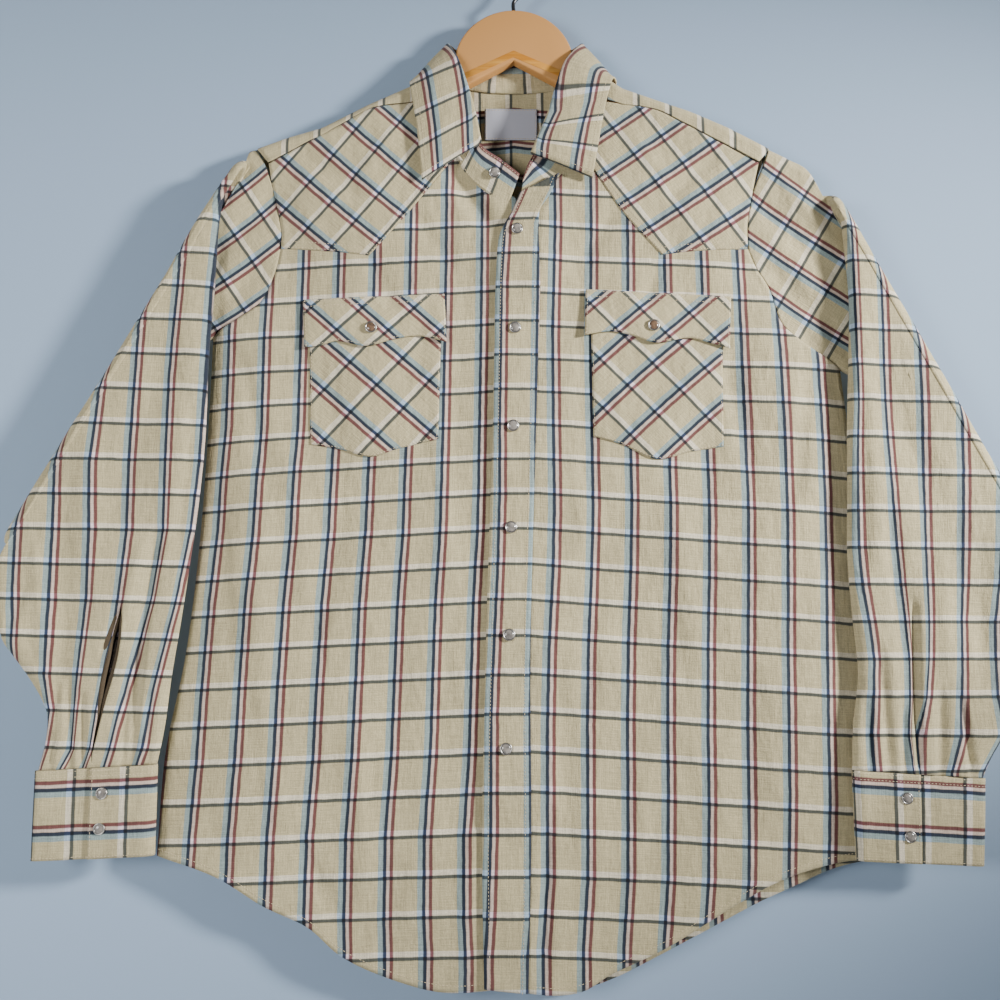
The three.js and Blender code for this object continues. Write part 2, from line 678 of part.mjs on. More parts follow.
// One sleeve: from the armhole to its diagonal fold, round the fold, and down in front
function sleeveSections(side, start) {
  const { sign } = side
  const inSide = (p) => V(sign * p.x, 0, p.z)
  const tip = inSide(side.foldTip)
  const end = inSide(side.foldEnd)
  const along = end.clone().sub(tip).normalize()
  const out = V(-along.z, 0, along.x).multiplyScalar(sign > 0 ? 1 : -1)
  const reach = FOLD_RADIUS + SLEEVE_HALF
  const turnTip = tip.clone().addScaledVector(out, -reach)
  const turnEnd = end.clone().addScaledVector(out, -reach)
  const armhole = route(curveOf(side.armholeTop, sign), curveOf(side.armholeLow, sign))
  const capTop = [...side.capTop.slice(0, -1), { x: sign * turnTip.x, z: turnTip.z }]
  const under = side.armholeLow.at(-1)
  const cap = {
    top: route(curveOf(capTop, sign)),
    bottom: underarmRoute(inSide(under), turnEnd, out),
    left: armhole,
    right: route(new THREE.LineCurve3(turnTip, turnEnd)),
  }
  const sections = []
  const capSteps = 5
  const seamPlace = (u) => {
    const ahead = armhole.at(Math.min(1, u + 0.01)).sub(armhole.at(Math.max(0, u - 0.01)))
    const away = V(-ahead.z, 0, ahead.x).normalize()
    return armhole.at(u).addScaledVector(away, (away.x * sign > 0 ? 1 : -1) * start)
  }
  for (let i = 0; i <= capSteps; i += 1) {
    sections.push({
      at: i === 0 ? seamPlace : (u) => patch(cap, i / capSteps, u),
      normal: V(0, 1, 0),
      half: ARMHOLE_HALF,
      folds: 0,
    })
  }
  const turnSteps = 6
  for (let i = 1; i <= turnSteps; i += 1) {
    const angle = Math.PI * (0.5 - i / turnSteps)
    const slide = TIP_SLIDE * (i / turnSteps)
    const normal = out.clone().multiplyScalar(Math.cos(angle)).add(V(0, Math.sin(angle), 0))
    const from = turnTip.clone().addScaledVector(along, slide).addScaledVector(normal, FOLD_RADIUS)
    const to = turnEnd.clone().addScaledVector(normal, FOLD_RADIUS)
    const middle = V(0, -FOLD_RADIUS, 0)
    sections.push({
      at: (u) => from.clone().lerp(to, u).add(middle),
      normal,
      half: SLEEVE_HALF,
      folds: 0,
    })
  }
  for (const row of side.lower) {
    const from = V(sign * row.ax, row.y, row.az)
    const to = V(sign * row.bx, row.y, row.bz)
    sections.push({ at: (u) => from.clone().lerp(to, u), normal: V(0, -1, 0), half: SLEEVE_HALF, folds: 1 })
  }
  return sections
}

function tubeGrid(side, sections, inset) {
  const folds = side.sign < 0 ? RIGHT_SLEEVE_FOLDS : LEFT_SLEEVE_FOLDS
  return sections.map((section) => {
    const length = polyLength(section.at)
    const ring = tubeRing(length - 2 * inset, SLEEVE_ROUND - inset, section.half - inset, 7)
    return ring.map(([a, n]) => {
      const point = section.at(clamp01((a + inset) / length))
      const share = section.folds * Math.max(0, n / section.half)
      const moved = share * foldsAt(folds, Math.abs(point.x), point.z)
      return point.addScaledVector(section.normal, n + moved)
    })
  })
}

function polyLength(at) {
  let sum = 0
  for (let i = 0; i < 24; i += 1) sum += at(i / 24).distanceTo(at((i + 1) / 24))
  return sum
}

function sleeveSolid(side) {
  const sections = sleeveSections(side, GAP_SHARE)
  return shellOf(tubeGrid(side, sections, 0), tubeGrid(side, sections, CLOTH), true)
}

// The top of a sleeve, filled and with the seam gap round it, for trimming what it is sewn to
function armholeTool(side) {
  const grid = tubeGrid(side, sleeveSections(side, GAP_SHARE - SEAM).slice(0, 2), -SEAM)
  const columns = grid[0].length
  const triangles = []
  for (let j = 0; j < columns; j += 1) {
    const next = (j + 1) % columns
    triangles.push([j, next, columns + next], [j, columns + next, columns + j])
  }
  const facing = (j) => (columns - j) % columns
  for (let j = 0; j < columns / 2; j += 1) {
    for (const [a, b, c] of [[j, facing(j), facing(j + 1)], [j, facing(j + 1), j + 1]]) {
      if (a === b || b === c || a === c) continue
      triangles.push([a, b, c], [columns + a, columns + c, columns + b])
    }
  }
  return closedMesh(grid.flat(), triangles)
}

// The open slit above the right cuff, cut through the front wall of the sleeve
const SLIT = table(
  ['z', 'x0', 'x1'],
  [-660, 359.5, 360.5],
  [-672, 357, 366],
  [-690, 357, 371],
  [-706, 359.5, 373.5],
  [-724, 363.5, 376.5],
  [-742, 369, 377],
  [-760, 373.5, 377],
  [-778, 376.8, 379],
  [-790, 379.6, 380.6],
)

// A geometry whose neighbouring triangles share their corners
function mergedShape(geometry) {
  const bare = geometry.clone()
  for (const name of ['normal', 'uv']) if (bare.attributes[name]) bare.deleteAttribute(name)
  return mergeVertices(bare, 1e-4)
}

function asManifold(geometry) {
  const merged = mergedShape(geometry)
  return new wasm.Manifold(
    new wasm.Mesh({
      numProp: 3,
      vertProperties: new Float32Array(merged.attributes.position.array),
      triVerts: new Uint32Array(merged.index.array),
    }),
  )
}

function fromManifold(solid) {
  const mesh = solid.getMesh()
  const geometry = new THREE.BufferGeometry()
  geometry.setAttribute('position', new THREE.Float32BufferAttribute(Array.from(mesh.vertProperties), 3))
  geometry.setIndex(Array.from(mesh.triVerts))
  return geometry
}

// What is left of a solid, its largest piece, when others are cut out of it
function subtract(from, ...tools) {
  const cut = tools.reduce((solid, tool) => solid.subtract(asManifold(tool)), asManifold(from))
  return fromManifold(cut.simplify(TRIM_FINENESS).decompose().sort((a, b) => b.volume() - a.volume())[0])
}

// A flat outline in X and Z with a depth in Y, as a closed block
function block(outline, yFront, yBack) {
  const shape = new THREE.Shape(outline.map(([x, z]) => new THREE.Vector2(x, z)))
  const geometry = new THREE.ExtrudeGeometry(shape, { depth: yBack - yFront, bevelEnabled: false })
  geometry.rotateX(Math.PI / 2)
  geometry.translate(0, yBack, 0)
  return geometry
}

function slitTool() {
  const inner = SLIT.map((row) => [-row.x0, row.z])
  const outer = [...SLIT].reverse().map((row) => [-row.x1, row.z])
  const outline = [...inner, ...outer]
  return block(outline, -40, RIGHT.lower.at(-2).y)
}

// A cuff: one band round the wrist, its front end lapped over the other
function cuffGrid(side) {
  const { topIn, topOut, lowIn, lowOut, y, lap } = side.cuff
  const half = SLEEVE_HALF + 0.4
  const plan = []
  const steps = 4
  const under = half - BAND - SEAM
  const width = topOut[0] - topIn[0]
  const lapShare = (lap - topIn[0]) / width
  const lapEnd = lapShare - CUFF_LAP / width
  const round = CUFF_ROUND / width
  for (let i = 0; i <= steps; i += 1) plan.push([mix(lapEnd, 1 - round, i / steps), -under])
  for (const turn of [0.25, 0.5, 0.75, 1]) {
    const angle = turn * Math.PI
    const depth = mix(under, half, turn)
    plan.push([1 - round + round * Math.sin(angle), -Math.cos(angle) * depth])
  }
  for (let i = 1; i <= steps; i += 1) plan.push([mix(1 - round, round, i / steps), half])
  for (const turn of [0.25, 0.5, 0.75, 1]) {
    const angle = turn * Math.PI
    plan.push([round - round * Math.sin(angle), Math.cos(angle) * half])
  }
  for (let i = 1; i <= steps; i += 1) plan.push([mix(round, lapShare, i / steps), -half])
  const rows = [0, 0.5, 1]
  return rows.map((t) =>
    plan.map(([share, depth]) => {
      const x = mix(mix(topIn[0], topOut[0], share), mix(lowIn[0], lowOut[0], share), t)
      const z = mix(mix(topIn[1], topOut[1], share), mix(lowIn[1], lowOut[1], share), t)
      return V(side.sign * x, y + depth, z)
    }),
  )
}

const CUFF_MIDDLE = -845 // about half way down a cuff
function cuffMiddle(side) {
  const { topIn, topOut, y } = side.cuff
  return V(side.sign * mix(topIn[0], topOut[0], 0.5), y, CUFF_MIDDLE)
}

// Curves of the collar: neck seam, top of the stand and free edge, by the same share round the neck
function collarCurve(rows, prefix) {
  const points = rows.map((row) => V(row[prefix + 'x'], row[prefix + 'y'], row[prefix + 'z']))
  return new THREE.CatmullRomCurve3(points, false, 'centripetal')
}

// Places round the neck by station number, so that seam, top and edge stay level with each other
function collarPlaces(rows, each) {
  const places = []
  const count = (rows.length - 1) * each
  for (let i = 0; i <= count; i += 1) places.push(i / count)
  return places
}

const SEAM_SHARE = 0.03 // where the stand starts, as a share of its height
const standMiddle = V(0, 0, -175)

function standGrid(grow = 0) {
  const seam = collarCurve(COLLAR, 's')
  const top = collarCurve(COLLAR, 't')
  const places = collarPlaces(COLLAR, 2)
  const shares = [SEAM_SHARE - grow / STAND_HEIGHT, 0.5, 1]
  return shares.map((v) => places.map((u) => seam.getPoint(u).lerp(top.getPoint(u), v)))
}

// How the leaf rolls over the stand's top edge, and its steps down to its free edge
const ROLL = table(['up', 'away'], [0.6, -0.5], [2.4, 0.5], [2.9, 2.2], [1.6, 3.8], [-2.5, 4.6])
const FALL = [0.33, 0.67, 1]

// The leaf leaves the stand's top edge, rolls over outward and falls to its free edge
function leafGrid() {
  const rows = COLLAR.filter((row) => row.leaf === 1)
  const seam = collarCurve(rows, 's')
  const top = collarCurve(rows, 't')
  const edge = collarCurve(rows, 'e')
  const places = collarPlaces(rows, 3)
  const profiles = places.map((u) => {
    const start = top.getPoint(u)
    const up = start.clone().sub(seam.getPoint(u)).normalize()
    const side = top.getTangent(u).normalize()
    const out = side.clone().cross(up).normalize()
    if (out.dot(edge.getPoint(u).sub(V(0, 0, edge.getPoint(u).z))) < 0) out.negate()
    const points = ROLL.map((row) => start.clone().addScaledVector(up, row.up).addScaledVector(out, row.away))
    const from = points.at(-1).clone()
    for (const share of FALL) points.push(from.clone().lerp(edge.getPoint(u), share))
    return points
  })
  return profiles[0].map((_, k) => profiles.map((profile) => profile[k]))
}

// A snap: a low pearl dome in a metal rim
const SNAP_PROFILE = table(
  ['share', 'height'], [0, 0], [1, 0], [1, 1.1], [0.88, 1.7], [0.74, 1.35], [0.5, 2.1], [0, SNAP_HEIGHT],
)

function snapGeometry(radius) {
  const profile = SNAP_PROFILE.map((row) => new THREE.Vector2(radius * row.share, row.height))
  return mergedShape(new THREE.LatheGeometry(profile, 10))
}

// The most forward place of a grid of points at a place seen from the front
function faceAt(grid, x, z) {
  const hits = []
  const target = V(x, 0, z)
  const flat = (p) => V(p.x, 0, p.z)
  const triangle = new THREE.Triangle()
  const try3 = (a, b, c) => {
    triangle.set(flat(a), flat(b), flat(c))
    if (triangle.getArea() < 1e-6 || !triangle.containsPoint(target)) return
    const share = triangle.getBarycoord(target, V(0, 0, 0))
    hits.push(a.y * share.x + b.y * share.y + c.y * share.z)
  }
  for (let i = 0; i < grid.length - 1; i += 1) {
    for (let j = 0; j < grid[0].length - 1; j += 1) {
      try3(grid[i][j], grid[i][j + 1], grid[i + 1][j + 1])
      try3(grid[i][j], grid[i + 1][j + 1], grid[i + 1][j])
    }
  }
  return Math.min(...hits)
}

// Puts a snap on the cloth in front of it, facing forward
function addSnap(name, grid, x, z, radius) {
  const marks = [[0, 0], [1, 0], [-1, 0], [0, 1], [0, -1]]
  const rim = marks.map(([a, b]) => faceAt(grid, x + a * radius, z + b * radius))
  const geometry = snapGeometry(radius)
  geometry.rotateX(Math.PI)
  geometry.translate(x, Math.min(...rim) - SEAM, z)
  add(name, geometry, pearlMaterial)
}

// The plain label inside the back of the neck
function labelSolid() {
  const { width, height, x, z } = LABEL
  const geometry = new THREE.BoxGeometry(width, LABEL.wall, height)
  const inside = fullDepth(z) - CLOTH - SEAM
  geometry.translate(x, inside - LABEL.wall / 2, z)
  return geometry
}

// The binding round the open slit, behind the cloth of the sleeve
function slitBinding() {
  const outline = (grow) => {
    const shift = (row, key, way) => [-(row[key] + way * grow), row.z]
    const inner = SLIT.map((row) => shift(row, 'x0', -1))
    return [...inner, ...[...SLIT].reverse().map((row) => shift(row, 'x1', 1))]
  }
  const front = RIGHT.lower.at(-2).y - SLEEVE_HALF + CLOTH + 2 * SEAM
  const hole = SLIT.slice(1, -2)
  const near = hole.map((row) => [-(row.x0 + SLIT_EDGE), row.z])
  const far = [...hole].reverse().map((row) => [-(row.x1 - SLIT_EDGE), row.z])
  const inner = [...near, ...far]
  const hollow = block(inner, front - CLOTH, front + 2 * CLOTH)
  return subtract(block(outline(SLIT_BINDING), front, front + CLOTH), hollow)
}

// The hanger: a round hub with two arms that follow the shoulders
function hangerBody() {
  const upper = []
  const steps = 16
  for (let i = 0; i <= steps; i += 1) {
    const angle = Math.PI * (i / steps)
    upper.push([-HUB_RADIUS * Math.cos(angle), HUB_TOP - HUB_RADIUS + HUB_RADIUS * Math.sin(angle)])
  }
  const mirrored = (rows) => rows.map(({ x, z }) => [-x, z]).reverse()
  const armTop = ARM_TOP.map(({ x, z }) => [x, z])
  const armLow = ARM_LOW.map(({ x, z }) => [x, z])
  const left = [...mirrored(ARM_TOP), ...upper.slice(1, -1)]
  const outline = [...left, ...armTop, ...armLow, ...mirrored(ARM_LOW).slice(1)]
  const shape = new THREE.Shape(outline.map(([x, z]) => new THREE.Vector2(x, z)))
  const geometry = new THREE.ExtrudeGeometry(shape, {
    depth: HANGER_THICK - 2 * EDGE,
    bevelEnabled: true,
    bevelThickness: EDGE,
    bevelSize: EDGE,
    bevelOffset: -EDGE,
    bevelSegments: 1,
  })
  geometry.rotateX(Math.PI / 2)
  geometry.translate(0, HANGER_THICK / 2 - EDGE, 0)
  const bore = new THREE.CylinderGeometry(WIRE + SEAM, WIRE + SEAM, 2 * STEM_IN_HUB, 12)
  bore.rotateX(Math.PI / 2)
  bore.translate(0, 0, HUB_TOP)
  return subtract(geometry, bore)
}

const HOOK_TURN = 1.06 // the hook's arc in half turns
const HOOK_START = 0.1 // how far below level it starts, in radians

// The hook: a stem out of the hub that swings out and round over the rail
function hangerHook() {
  const middle = HOOK_RADIUS + WIRE
  const points = [V(0, 0, HUB_TOP - STEM_IN_HUB + SEAM), V(0, 0, HUB_TOP), V(0, 0, HUB_TOP + 12)]
  points.push(V(middle * 0.55, 0, -HOOK_RADIUS - middle * 0.95))
  const steps = 10
  for (let i = 0; i <= steps; i += 1) {
    const angle = Math.PI * (i / steps) * HOOK_TURN - HOOK_START
    points.push(V(middle * Math.cos(angle), 0, -HOOK_RADIUS + middle * Math.sin(angle)))
  }
  const path = new THREE.CatmullRomCurve3(points, false, 'centripetal')
  const ring = []
  for (let i = 0; i < 8; i += 1) {
    const angle = (i / 8) * 2 * Math.PI
    ring.push(new THREE.Vector2(WIRE * Math.cos(angle), WIRE * Math.sin(angle)))
  }
  const sweep = { steps: HOOK_STEPS, extrudePath: path, bevelEnabled: false }
  return new THREE.ExtrudeGeometry(new THREE.Shape(ring), sweep)
}

function material(colour, roughness, metalness = 0) {
  return new THREE.MeshStandardMaterial({ color: colour, roughness, metalness })
}
const clothMaterial = material(COLOURS.cloth, 0.85)
const cuffMaterial = material(COLOURS.cuff, 0.85)
const woodMaterial = material(COLOURS.wood, 0.4)
const steelMaterial = material(COLOURS.steel, 0.3, 1)
const pearlMaterial = material(COLOURS.pearl, 0.25)
const labelMaterial = material(COLOURS.label, 0.8)

const group = new THREE.Group()
function add(name, geometry, look) {
  const mesh = new THREE.Mesh(geometry, look)
  mesh.name = name
  group.add(mesh)
  return mesh
}

// The collar stand, a sleeve's top and the back yoke trim what is sewn to them
const standTool = wall(standGrid(SEAM), BAND, (p) => standMiddle.clone().sub(p), false, SEAM)
const backYokeTool = wall(backYoke(SEAM), CLOTH, toFront, false, SEAM)

for (const [name, side] of [['right', RIGHT], ['left', LEFT]]) {
  const armhole = armholeTool(side)
  const front = wall(frontPanel(side, side === LEFT), CLOTH, toBack)
  add('front_' + name, subtract(front, armhole, standTool), clothMaterial)
  const yoke = wall(frontYoke(side), CLOTH, toBack)
  add('front_yoke_' + name, subtract(yoke, armhole, standTool, backYokeTool), clothMaterial)
}
const armholes = [armholeTool(RIGHT), armholeTool(LEFT)]
add('back_yoke', subtract(wall(backYoke(), CLOTH, toFront), ...armholes, standTool), clothMaterial)
add('back', subtract(wall(backPanel(), CLOTH, toFront), ...armholes, backYokeTool), clothMaterial)
add('sleeve_right', subtract(sleeveSolid(RIGHT), slitTool()), clothMaterial)
add('sleeve_left', subtract(sleeveSolid(LEFT)), clothMaterial)
add('collar_stand', wall(standGrid(), BAND, (p) => standMiddle.clone().sub(p)), clothMaterial)
add('collar_leaf', wall(leafGrid(), BAND, (p) => standMiddle.clone().sub(p)), clothMaterial)

const bandGrid = bandPanel()
add('front_band', wall(bandGrid, BAND, toBack), clothMaterial)
BAND_SNAPS.forEach((place, i) => addSnap('snap_band_' + (i + 1), bandGrid, place.x, place.z, SNAP_RADIUS))

for (const [name, side] of [['right', RIGHT], ['left', LEFT]]) {
  add('pocket_' + name, wall(pocketPanel(side), CLOTH, toBack), clothMaterial)
  const flap = flapPanel(side)
  add('pocket_flap_' + name, wall(flap, BAND, toBack), clothMaterial)
  addSnap('snap_flap_' + name, flap, side.sign * side.flapSnap.x, side.flapSnap.z, SNAP_RADIUS)
  const cuff = cuffGrid(side)
  add('cuff_' + name, wall(cuff, BAND, (p) => cuffMiddle(side).sub(p)), cuffMaterial)
  side.cuffSnaps.forEach((place, i) =>
    addSnap('snap_cuff_' + name + '_' + (i + 1), cuff, side.sign * place.x, place.z, CUFF_SNAP_RADIUS),
  )
}
addSnap('snap_collar', standGrid(), COLLAR_SNAP.x, COLLAR_SNAP.z, SNAP_RADIUS)
add('neck_label', labelSolid(), labelMaterial)
add('slit_binding_right', slitBinding(), cuffMaterial)
add('hanger_body', hangerBody(), woodMaterial)
add('hanger_hook', hangerHook(), steelMaterial)

export default group
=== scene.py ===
"""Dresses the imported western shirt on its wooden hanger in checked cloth, seams, stitches and snaps.

Every cloth piece is a fine sheet on the form of its solid. The tables are a maker's pattern in
millimetres, in the frame of the solids: +X to the viewer's right, +Z up, and the front faces -Y."""
import functools
import math

import bmesh
import bpy
import numpy as np
from bpy.props import FloatProperty, FloatVectorProperty, IntProperty, PointerProperty
from mathutils import Matrix, Vector


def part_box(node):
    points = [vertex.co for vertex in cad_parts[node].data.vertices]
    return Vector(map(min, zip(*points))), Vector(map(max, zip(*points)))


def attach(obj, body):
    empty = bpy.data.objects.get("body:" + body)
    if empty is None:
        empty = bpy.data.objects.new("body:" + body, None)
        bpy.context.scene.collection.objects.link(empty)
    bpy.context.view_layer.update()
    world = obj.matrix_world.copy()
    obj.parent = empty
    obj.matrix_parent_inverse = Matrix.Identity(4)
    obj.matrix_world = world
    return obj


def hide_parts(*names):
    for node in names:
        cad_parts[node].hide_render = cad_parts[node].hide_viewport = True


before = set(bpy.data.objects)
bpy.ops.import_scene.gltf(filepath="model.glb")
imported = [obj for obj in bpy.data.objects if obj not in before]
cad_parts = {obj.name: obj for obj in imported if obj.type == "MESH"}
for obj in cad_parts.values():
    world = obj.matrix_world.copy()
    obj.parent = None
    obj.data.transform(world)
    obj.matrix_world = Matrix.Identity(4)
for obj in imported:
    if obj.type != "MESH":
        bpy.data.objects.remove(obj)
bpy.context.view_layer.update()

bl_info = {
    "name": "Western shirt on a hanger",
    "version": (1, 0, 0),
    "blender": (4, 5, 0),
    "location": "View3D > Sidebar > Shirt",
    "description": "Builds a checked western shirt with pointed yokes and pearl snaps on its hanger",
    "category": "Object",
}

MM = 0.001


def table(names, *rows):
    """Rows of numbers under named columns."""
    return np.array(list(rows), dtype=[(name, float) for name in names.split()])


# Outlines of the two halves, x counted outward from the middle
RIGHT = dict(
    sign=-1,
    ridge=table("x z", (78, -123), (104, -142), (142, -160), (190, -186), (224, -196), (254, -207)),
    strip=table(
        "x z", (242, -224), (223, -214), (197, -200), (169, -184), (142, -168), (104, -162), (72, -158)
    ),
    armhole_top=table("x z", (254, -207), (246, -224), (237, -250), (231, -274), (227, -297), (227, -310.5)),
    armhole_low=table("x z", (227, -310.5), (232, -336), (245, -365), (261, -378), (276, -388), (291, -400)),
    yoke_outer=table("x z", (227, -310.5), (180, -314), (141, -318)),
    yoke_inner=table("x z", (141, -318), (108, -279.5), (86, -252), (57, -213)),
    neck=table("x z", (57, -213), (44, -229), (20, -249), (-3, -262)),
    middle=table("x z", (-3, -262), (-12, -330), (-8, -600), (-2, -850), (0, -992)),
    side=table("x z", (291, -400), (292, -483), (296, -600), (305, -705), (319, -789), (323, -881)),
    hem=table(
        "x z", (323, -881), (269, -898), (225, -923), (184, -942), (154, -966), (104, -987), (60, -996),
        (0, -992),
    ),
    back_hem=table(
        "x z", (323, -881), (269, -896), (225, -920), (184, -939), (154, -962), (104, -985), (60, -994),
        (0, -998),
    ),
    cap_top=table("x z", (254, -207), (262, -210)),
    fold_tip=(267, -213),
    fold_end=(479, -597),
    lower=table(
        "ax az bx bz y",
        (276, -238, 477, -618, -14),
        (284.5, -275, 475.5, -643, -14),
        (287.5, -350, 473, -672, -14),
        (290.5, -425, 468, -690, -13.6),
        (291, -500, 459, -702, -13),
        (295, -565, 447, -717, -12.5),
        (301, -622, 437, -731, -12),
        (307, -675, 429, -744, -12),
        (313, -722, 424, -757, -12),
        (317, -765, 424, -778, -12),
        (322.5, -799, 429, -804.5, -12),
    ),
    cuff=dict(
        top_in=(322, -799.35), top_out=(432, -805.05), low_in=(321, -878), low_out=(431, -883), y=-12, lap=380
    ),
    pocket_top=table("x z", (197, -376), (70, -371)),
    pocket_low=table("x z", (193, -506), (164, -511), (136, -518), (110, -510.5), (72, -501.5)),
    flap_top=table("x z", (203.5, -365), (67.5, -359.6)),
    flap_low=table(
        "x z", (200.5, -412), (186, -411), (170, -406.5), (140, -411.5), (112, -404), (92, -401.5),
        (64.6, -407.5),
    ),
)
LEFT = dict(
    sign=1,
    ridge=table("x z", (78, -123), (108, -144), (140, -156), (174, -168), (211, -185), (252, -207)),
    strip=table(
        "x z", (241, -223), (222, -213), (197, -200), (169, -184), (142, -170), (104, -163), (72, -158)
    ),
    armhole_top=table("x z", (252, -207), (247, -222), (233, -258), (228, -285), (227, -311)),
    armhole_low=table("x z", (227, -311), (234, -330), (246, -351), (257, -386), (272, -401), (313, -431)),
    yoke_outer=table("x z", (227, -311), (174, -314), (143, -317.5)),
    yoke_inner=table("x z", (143, -317.5), (108, -276), (80, -234), (58, -206)),
    neck=table("x z", (58, -206), (46, -237), (30, -248), (6, -258)),
    middle=table("x z", (6, -258), (-14, -316), (-20, -492), (-26, -696), (-28, -865), (-26, -990)),
    side=table("x z", (313, -431), (318, -500), (317, -600), (319, -700), (323, -800), (326, -884)),
    hem=table(
        "x z", (326, -884), (290, -886), (235, -902), (198, -921), (131, -960), (84, -981), (59, -995),
        (30, -998), (-26, -990),
    ),
    back_hem=table(
        "x z", (326, -884), (290, -893), (252, -909), (218, -924), (136, -965), (90, -987), (59, -997),
        (30, -999), (0, -998),
    ),
    cap_top=table("x z", (252, -207), (271, -217), (289, -228)),
    fold_tip=(312, -249),
    fold_end=(492, -606),
    lower=table(
        "ax az bx bz y",
        (314, -276, 491, -626, -14),
        (317.5, -309, 489.5, -645, -14),
        (320, -367, 487, -668, -14),
        (317, -424, 482.5, -688, -13.8),
        (313, -482, 477, -705, -13.6),
        (310, -548, 470, -722, -13.6),
        (307, -612, 460, -739, -13.6),
        (309, -670, 449, -757, -13.6),
        (311.5, -719, 438, -778, -13.6),
        (305, -764, 427, -795, -13.6),
        (302, -804, 419, -811, -13.6),
    ),
    cuff=dict(
        top_in=(302, -804.35), top_out=(421, -811.5), low_in=(302, -882), low_out=(415, -887),
        y=-13.6, lap=361,
    ),
    pocket_top=table("x z", (200, -374), (73, -367)),
    pocket_low=table("x z", (197, -508), (166, -513), (134, -520.5), (101, -506.5), (74, -498.5)),
    flap_top=table("x z", (208, -362), (68.4, -355)),
    flap_low=table(
        "x z", (205.5, -413), (188, -408.5), (166, -403.5), (134, -408.5), (108, -400), (92, -397),
        (66.6, -401),
    ),
)
SIDES = {"right": RIGHT, "left": LEFT}

# Front band and depth of the body
BAND_INNER = table(
    "x z", (5.5, -257), (-2.5, -277), (-10, -290), (-15, -303), (-18, -345), (-21, -492), (-27, -696),
    (-30, -865), (-28, -992),
)
BAND_OUTER = table(
    "x z", (44, -238.5), (33, -263), (25, -275), (23.5, -290), (24.5, -345), (20, -492), (14, -696),
    (14, -865), (11, -996),
)
DEPTHS = table("z half", (-1010, 6.6), (-900, 7.4), (-700, 9), (-450, 10), (-260, 9.4), (-120, 9.4))
ARMHOLE_HALF = 6
RIDGE_DROP = 10
EDGE_REACH = 60
SLEEVE_HALF = 6
SLEEVE_ROUND = 14
FOLD_RADIUS = 7
TIP_SLIDE = 14
CUFF_ROUND = 9
CUFF_LAP = 26
CLOSED_EDGE = 1.35
LIFT_FRONT = 1.8
LIFT_FLAP = 3.7
LIFT_BAND = 3.9

# Soft folds: from one end to the other, width across and depth, + outward
FOLDS = "x0 z0 x1 z1 width depth"
FOLD_GAIN = 1.45
FRONT_FOLDS = table(
    FOLDS,
    (-66, -224, -26, -288, 10, -4.5),
    (-225, -330, -150, -560, 26, -1.6),
    (232, -345, 165, -570, 26, -1.8),
    (-270, -430, -235, -800, 34, 1.3),
    (275, -470, 240, -820, 34, 1.4),
    (-95, -560, -110, -960, 30, -1.4),
    (92, -540, 118, -950, 30, -1.5),
    (-48, -330, -50, -900, 20, -0.9),
)
FRONT_CREASES = table(
    FOLDS,
    (-262, -420, -235, -530, 9, -1.53),
    (-210, -520, -190, -660, 12, 1.36),
    (-160, -560, -185, -700, 10, -1.19),
    (-75, -430, -62, -640, 9, 1.19),
    (-60, -640, -72, -820, 11, -1.36),
    (-240, -640, -215, -840, 12, 1.53),
    (-280, -560, -262, -700, 8, -1.36),
    (-150, -760, -128, -930, 11, 1.36),
    (-200, -860, -160, -930, 9, -1.19),
    (-40, -860, -46, -985, 6, 1.7),
    (30, -840, 24, -990, 4.5, -2.72),
    (48, -420, 60, -600, 11, 1.19),
    (80, -600, 62, -760, 12, -1.36),
    (150, -560, 172, -740, 12, 1.36),
    (205, -430, 228, -560, 9, -1.53),
    (280, -440, 262, -560, 8, -1.7),
    (300, -600, 284, -760, 10, 1.36),
    (120, -800, 100, -960, 10, 1.36),
    (215, -720, 205, -860, 12, -1.36),
    (40, -700, 46, -860, 9, -1.19),
    (-215, -330, -262, -352, 7, -2.04),
    (222, -330, 262, -366, 8, -2.38),
    (-140, -322, -118, -372, 8, -1.53),
    (142, -322, 128, -368, 8, -1.53),
    (100, -275, 60, -330, 9, -1.53),
    (-100, -275, -62, -330, 9, -1.36),
)
YOKE_CREASES = table(
    FOLDS,
    (-205, -215, -150, -262, 9, -1.65),
    (-120, -190, -150, -240, 8, 1.35),
    (-215, -262, -190, -300, 8, 1.05),
    (200, -214, 150, -262, 9, -1.65),
    (112, -190, 150, -246, 8, 1.2),
    (214, -262, 190, -300, 8, 1.05),
)
BACK_FOLDS = table(
    FOLDS,
    (-215, -340, -130, -640, 28, -1.8),
    (210, -345, 140, -640, 28, -1.7),
    (-60, -380, -75, -940, 30, 1.4),
    (70, -360, 60, -950, 30, 1.5),
    (-250, -500, -225, -860, 32, 1.3),
    (255, -520, 230, -860, 32, 1.2),
)
BACK_CREASES = table(
    FOLDS,
    (-250, -410, -200, -520, 10, -1.44),
    (-160, -380, -140, -560, 11, 1.28),
    (-20, -420, -12, -640, 12, -1.44),
    (36, -640, 24, -860, 11, 1.28),
    (120, -420, 150, -600, 10, -1.28),
    (240, -420, 196, -560, 10, -1.44),
    (-120, -680, -148, -900, 12, -1.28),
    (-210, -620, -190, -800, 11, 1.44),
    (150, -700, 128, -900, 12, 1.28),
    (280, -600, 262, -780, 10, -1.28),
    (-290, -620, -280, -760, 9, -1.12),
    (0, -760, -12, -960, 12, 1.28),
)
RIGHT_SLEEVE_FOLDS = table(
    FOLDS,
    (341, -690, 345, -810, 5, -2.2),
    (404, -725, 400, -810, 5, -2.2),
    (330, -430, 410, -690, 16, -1.6),
    (305, -300, 318, -600, 14, 1.2),
)
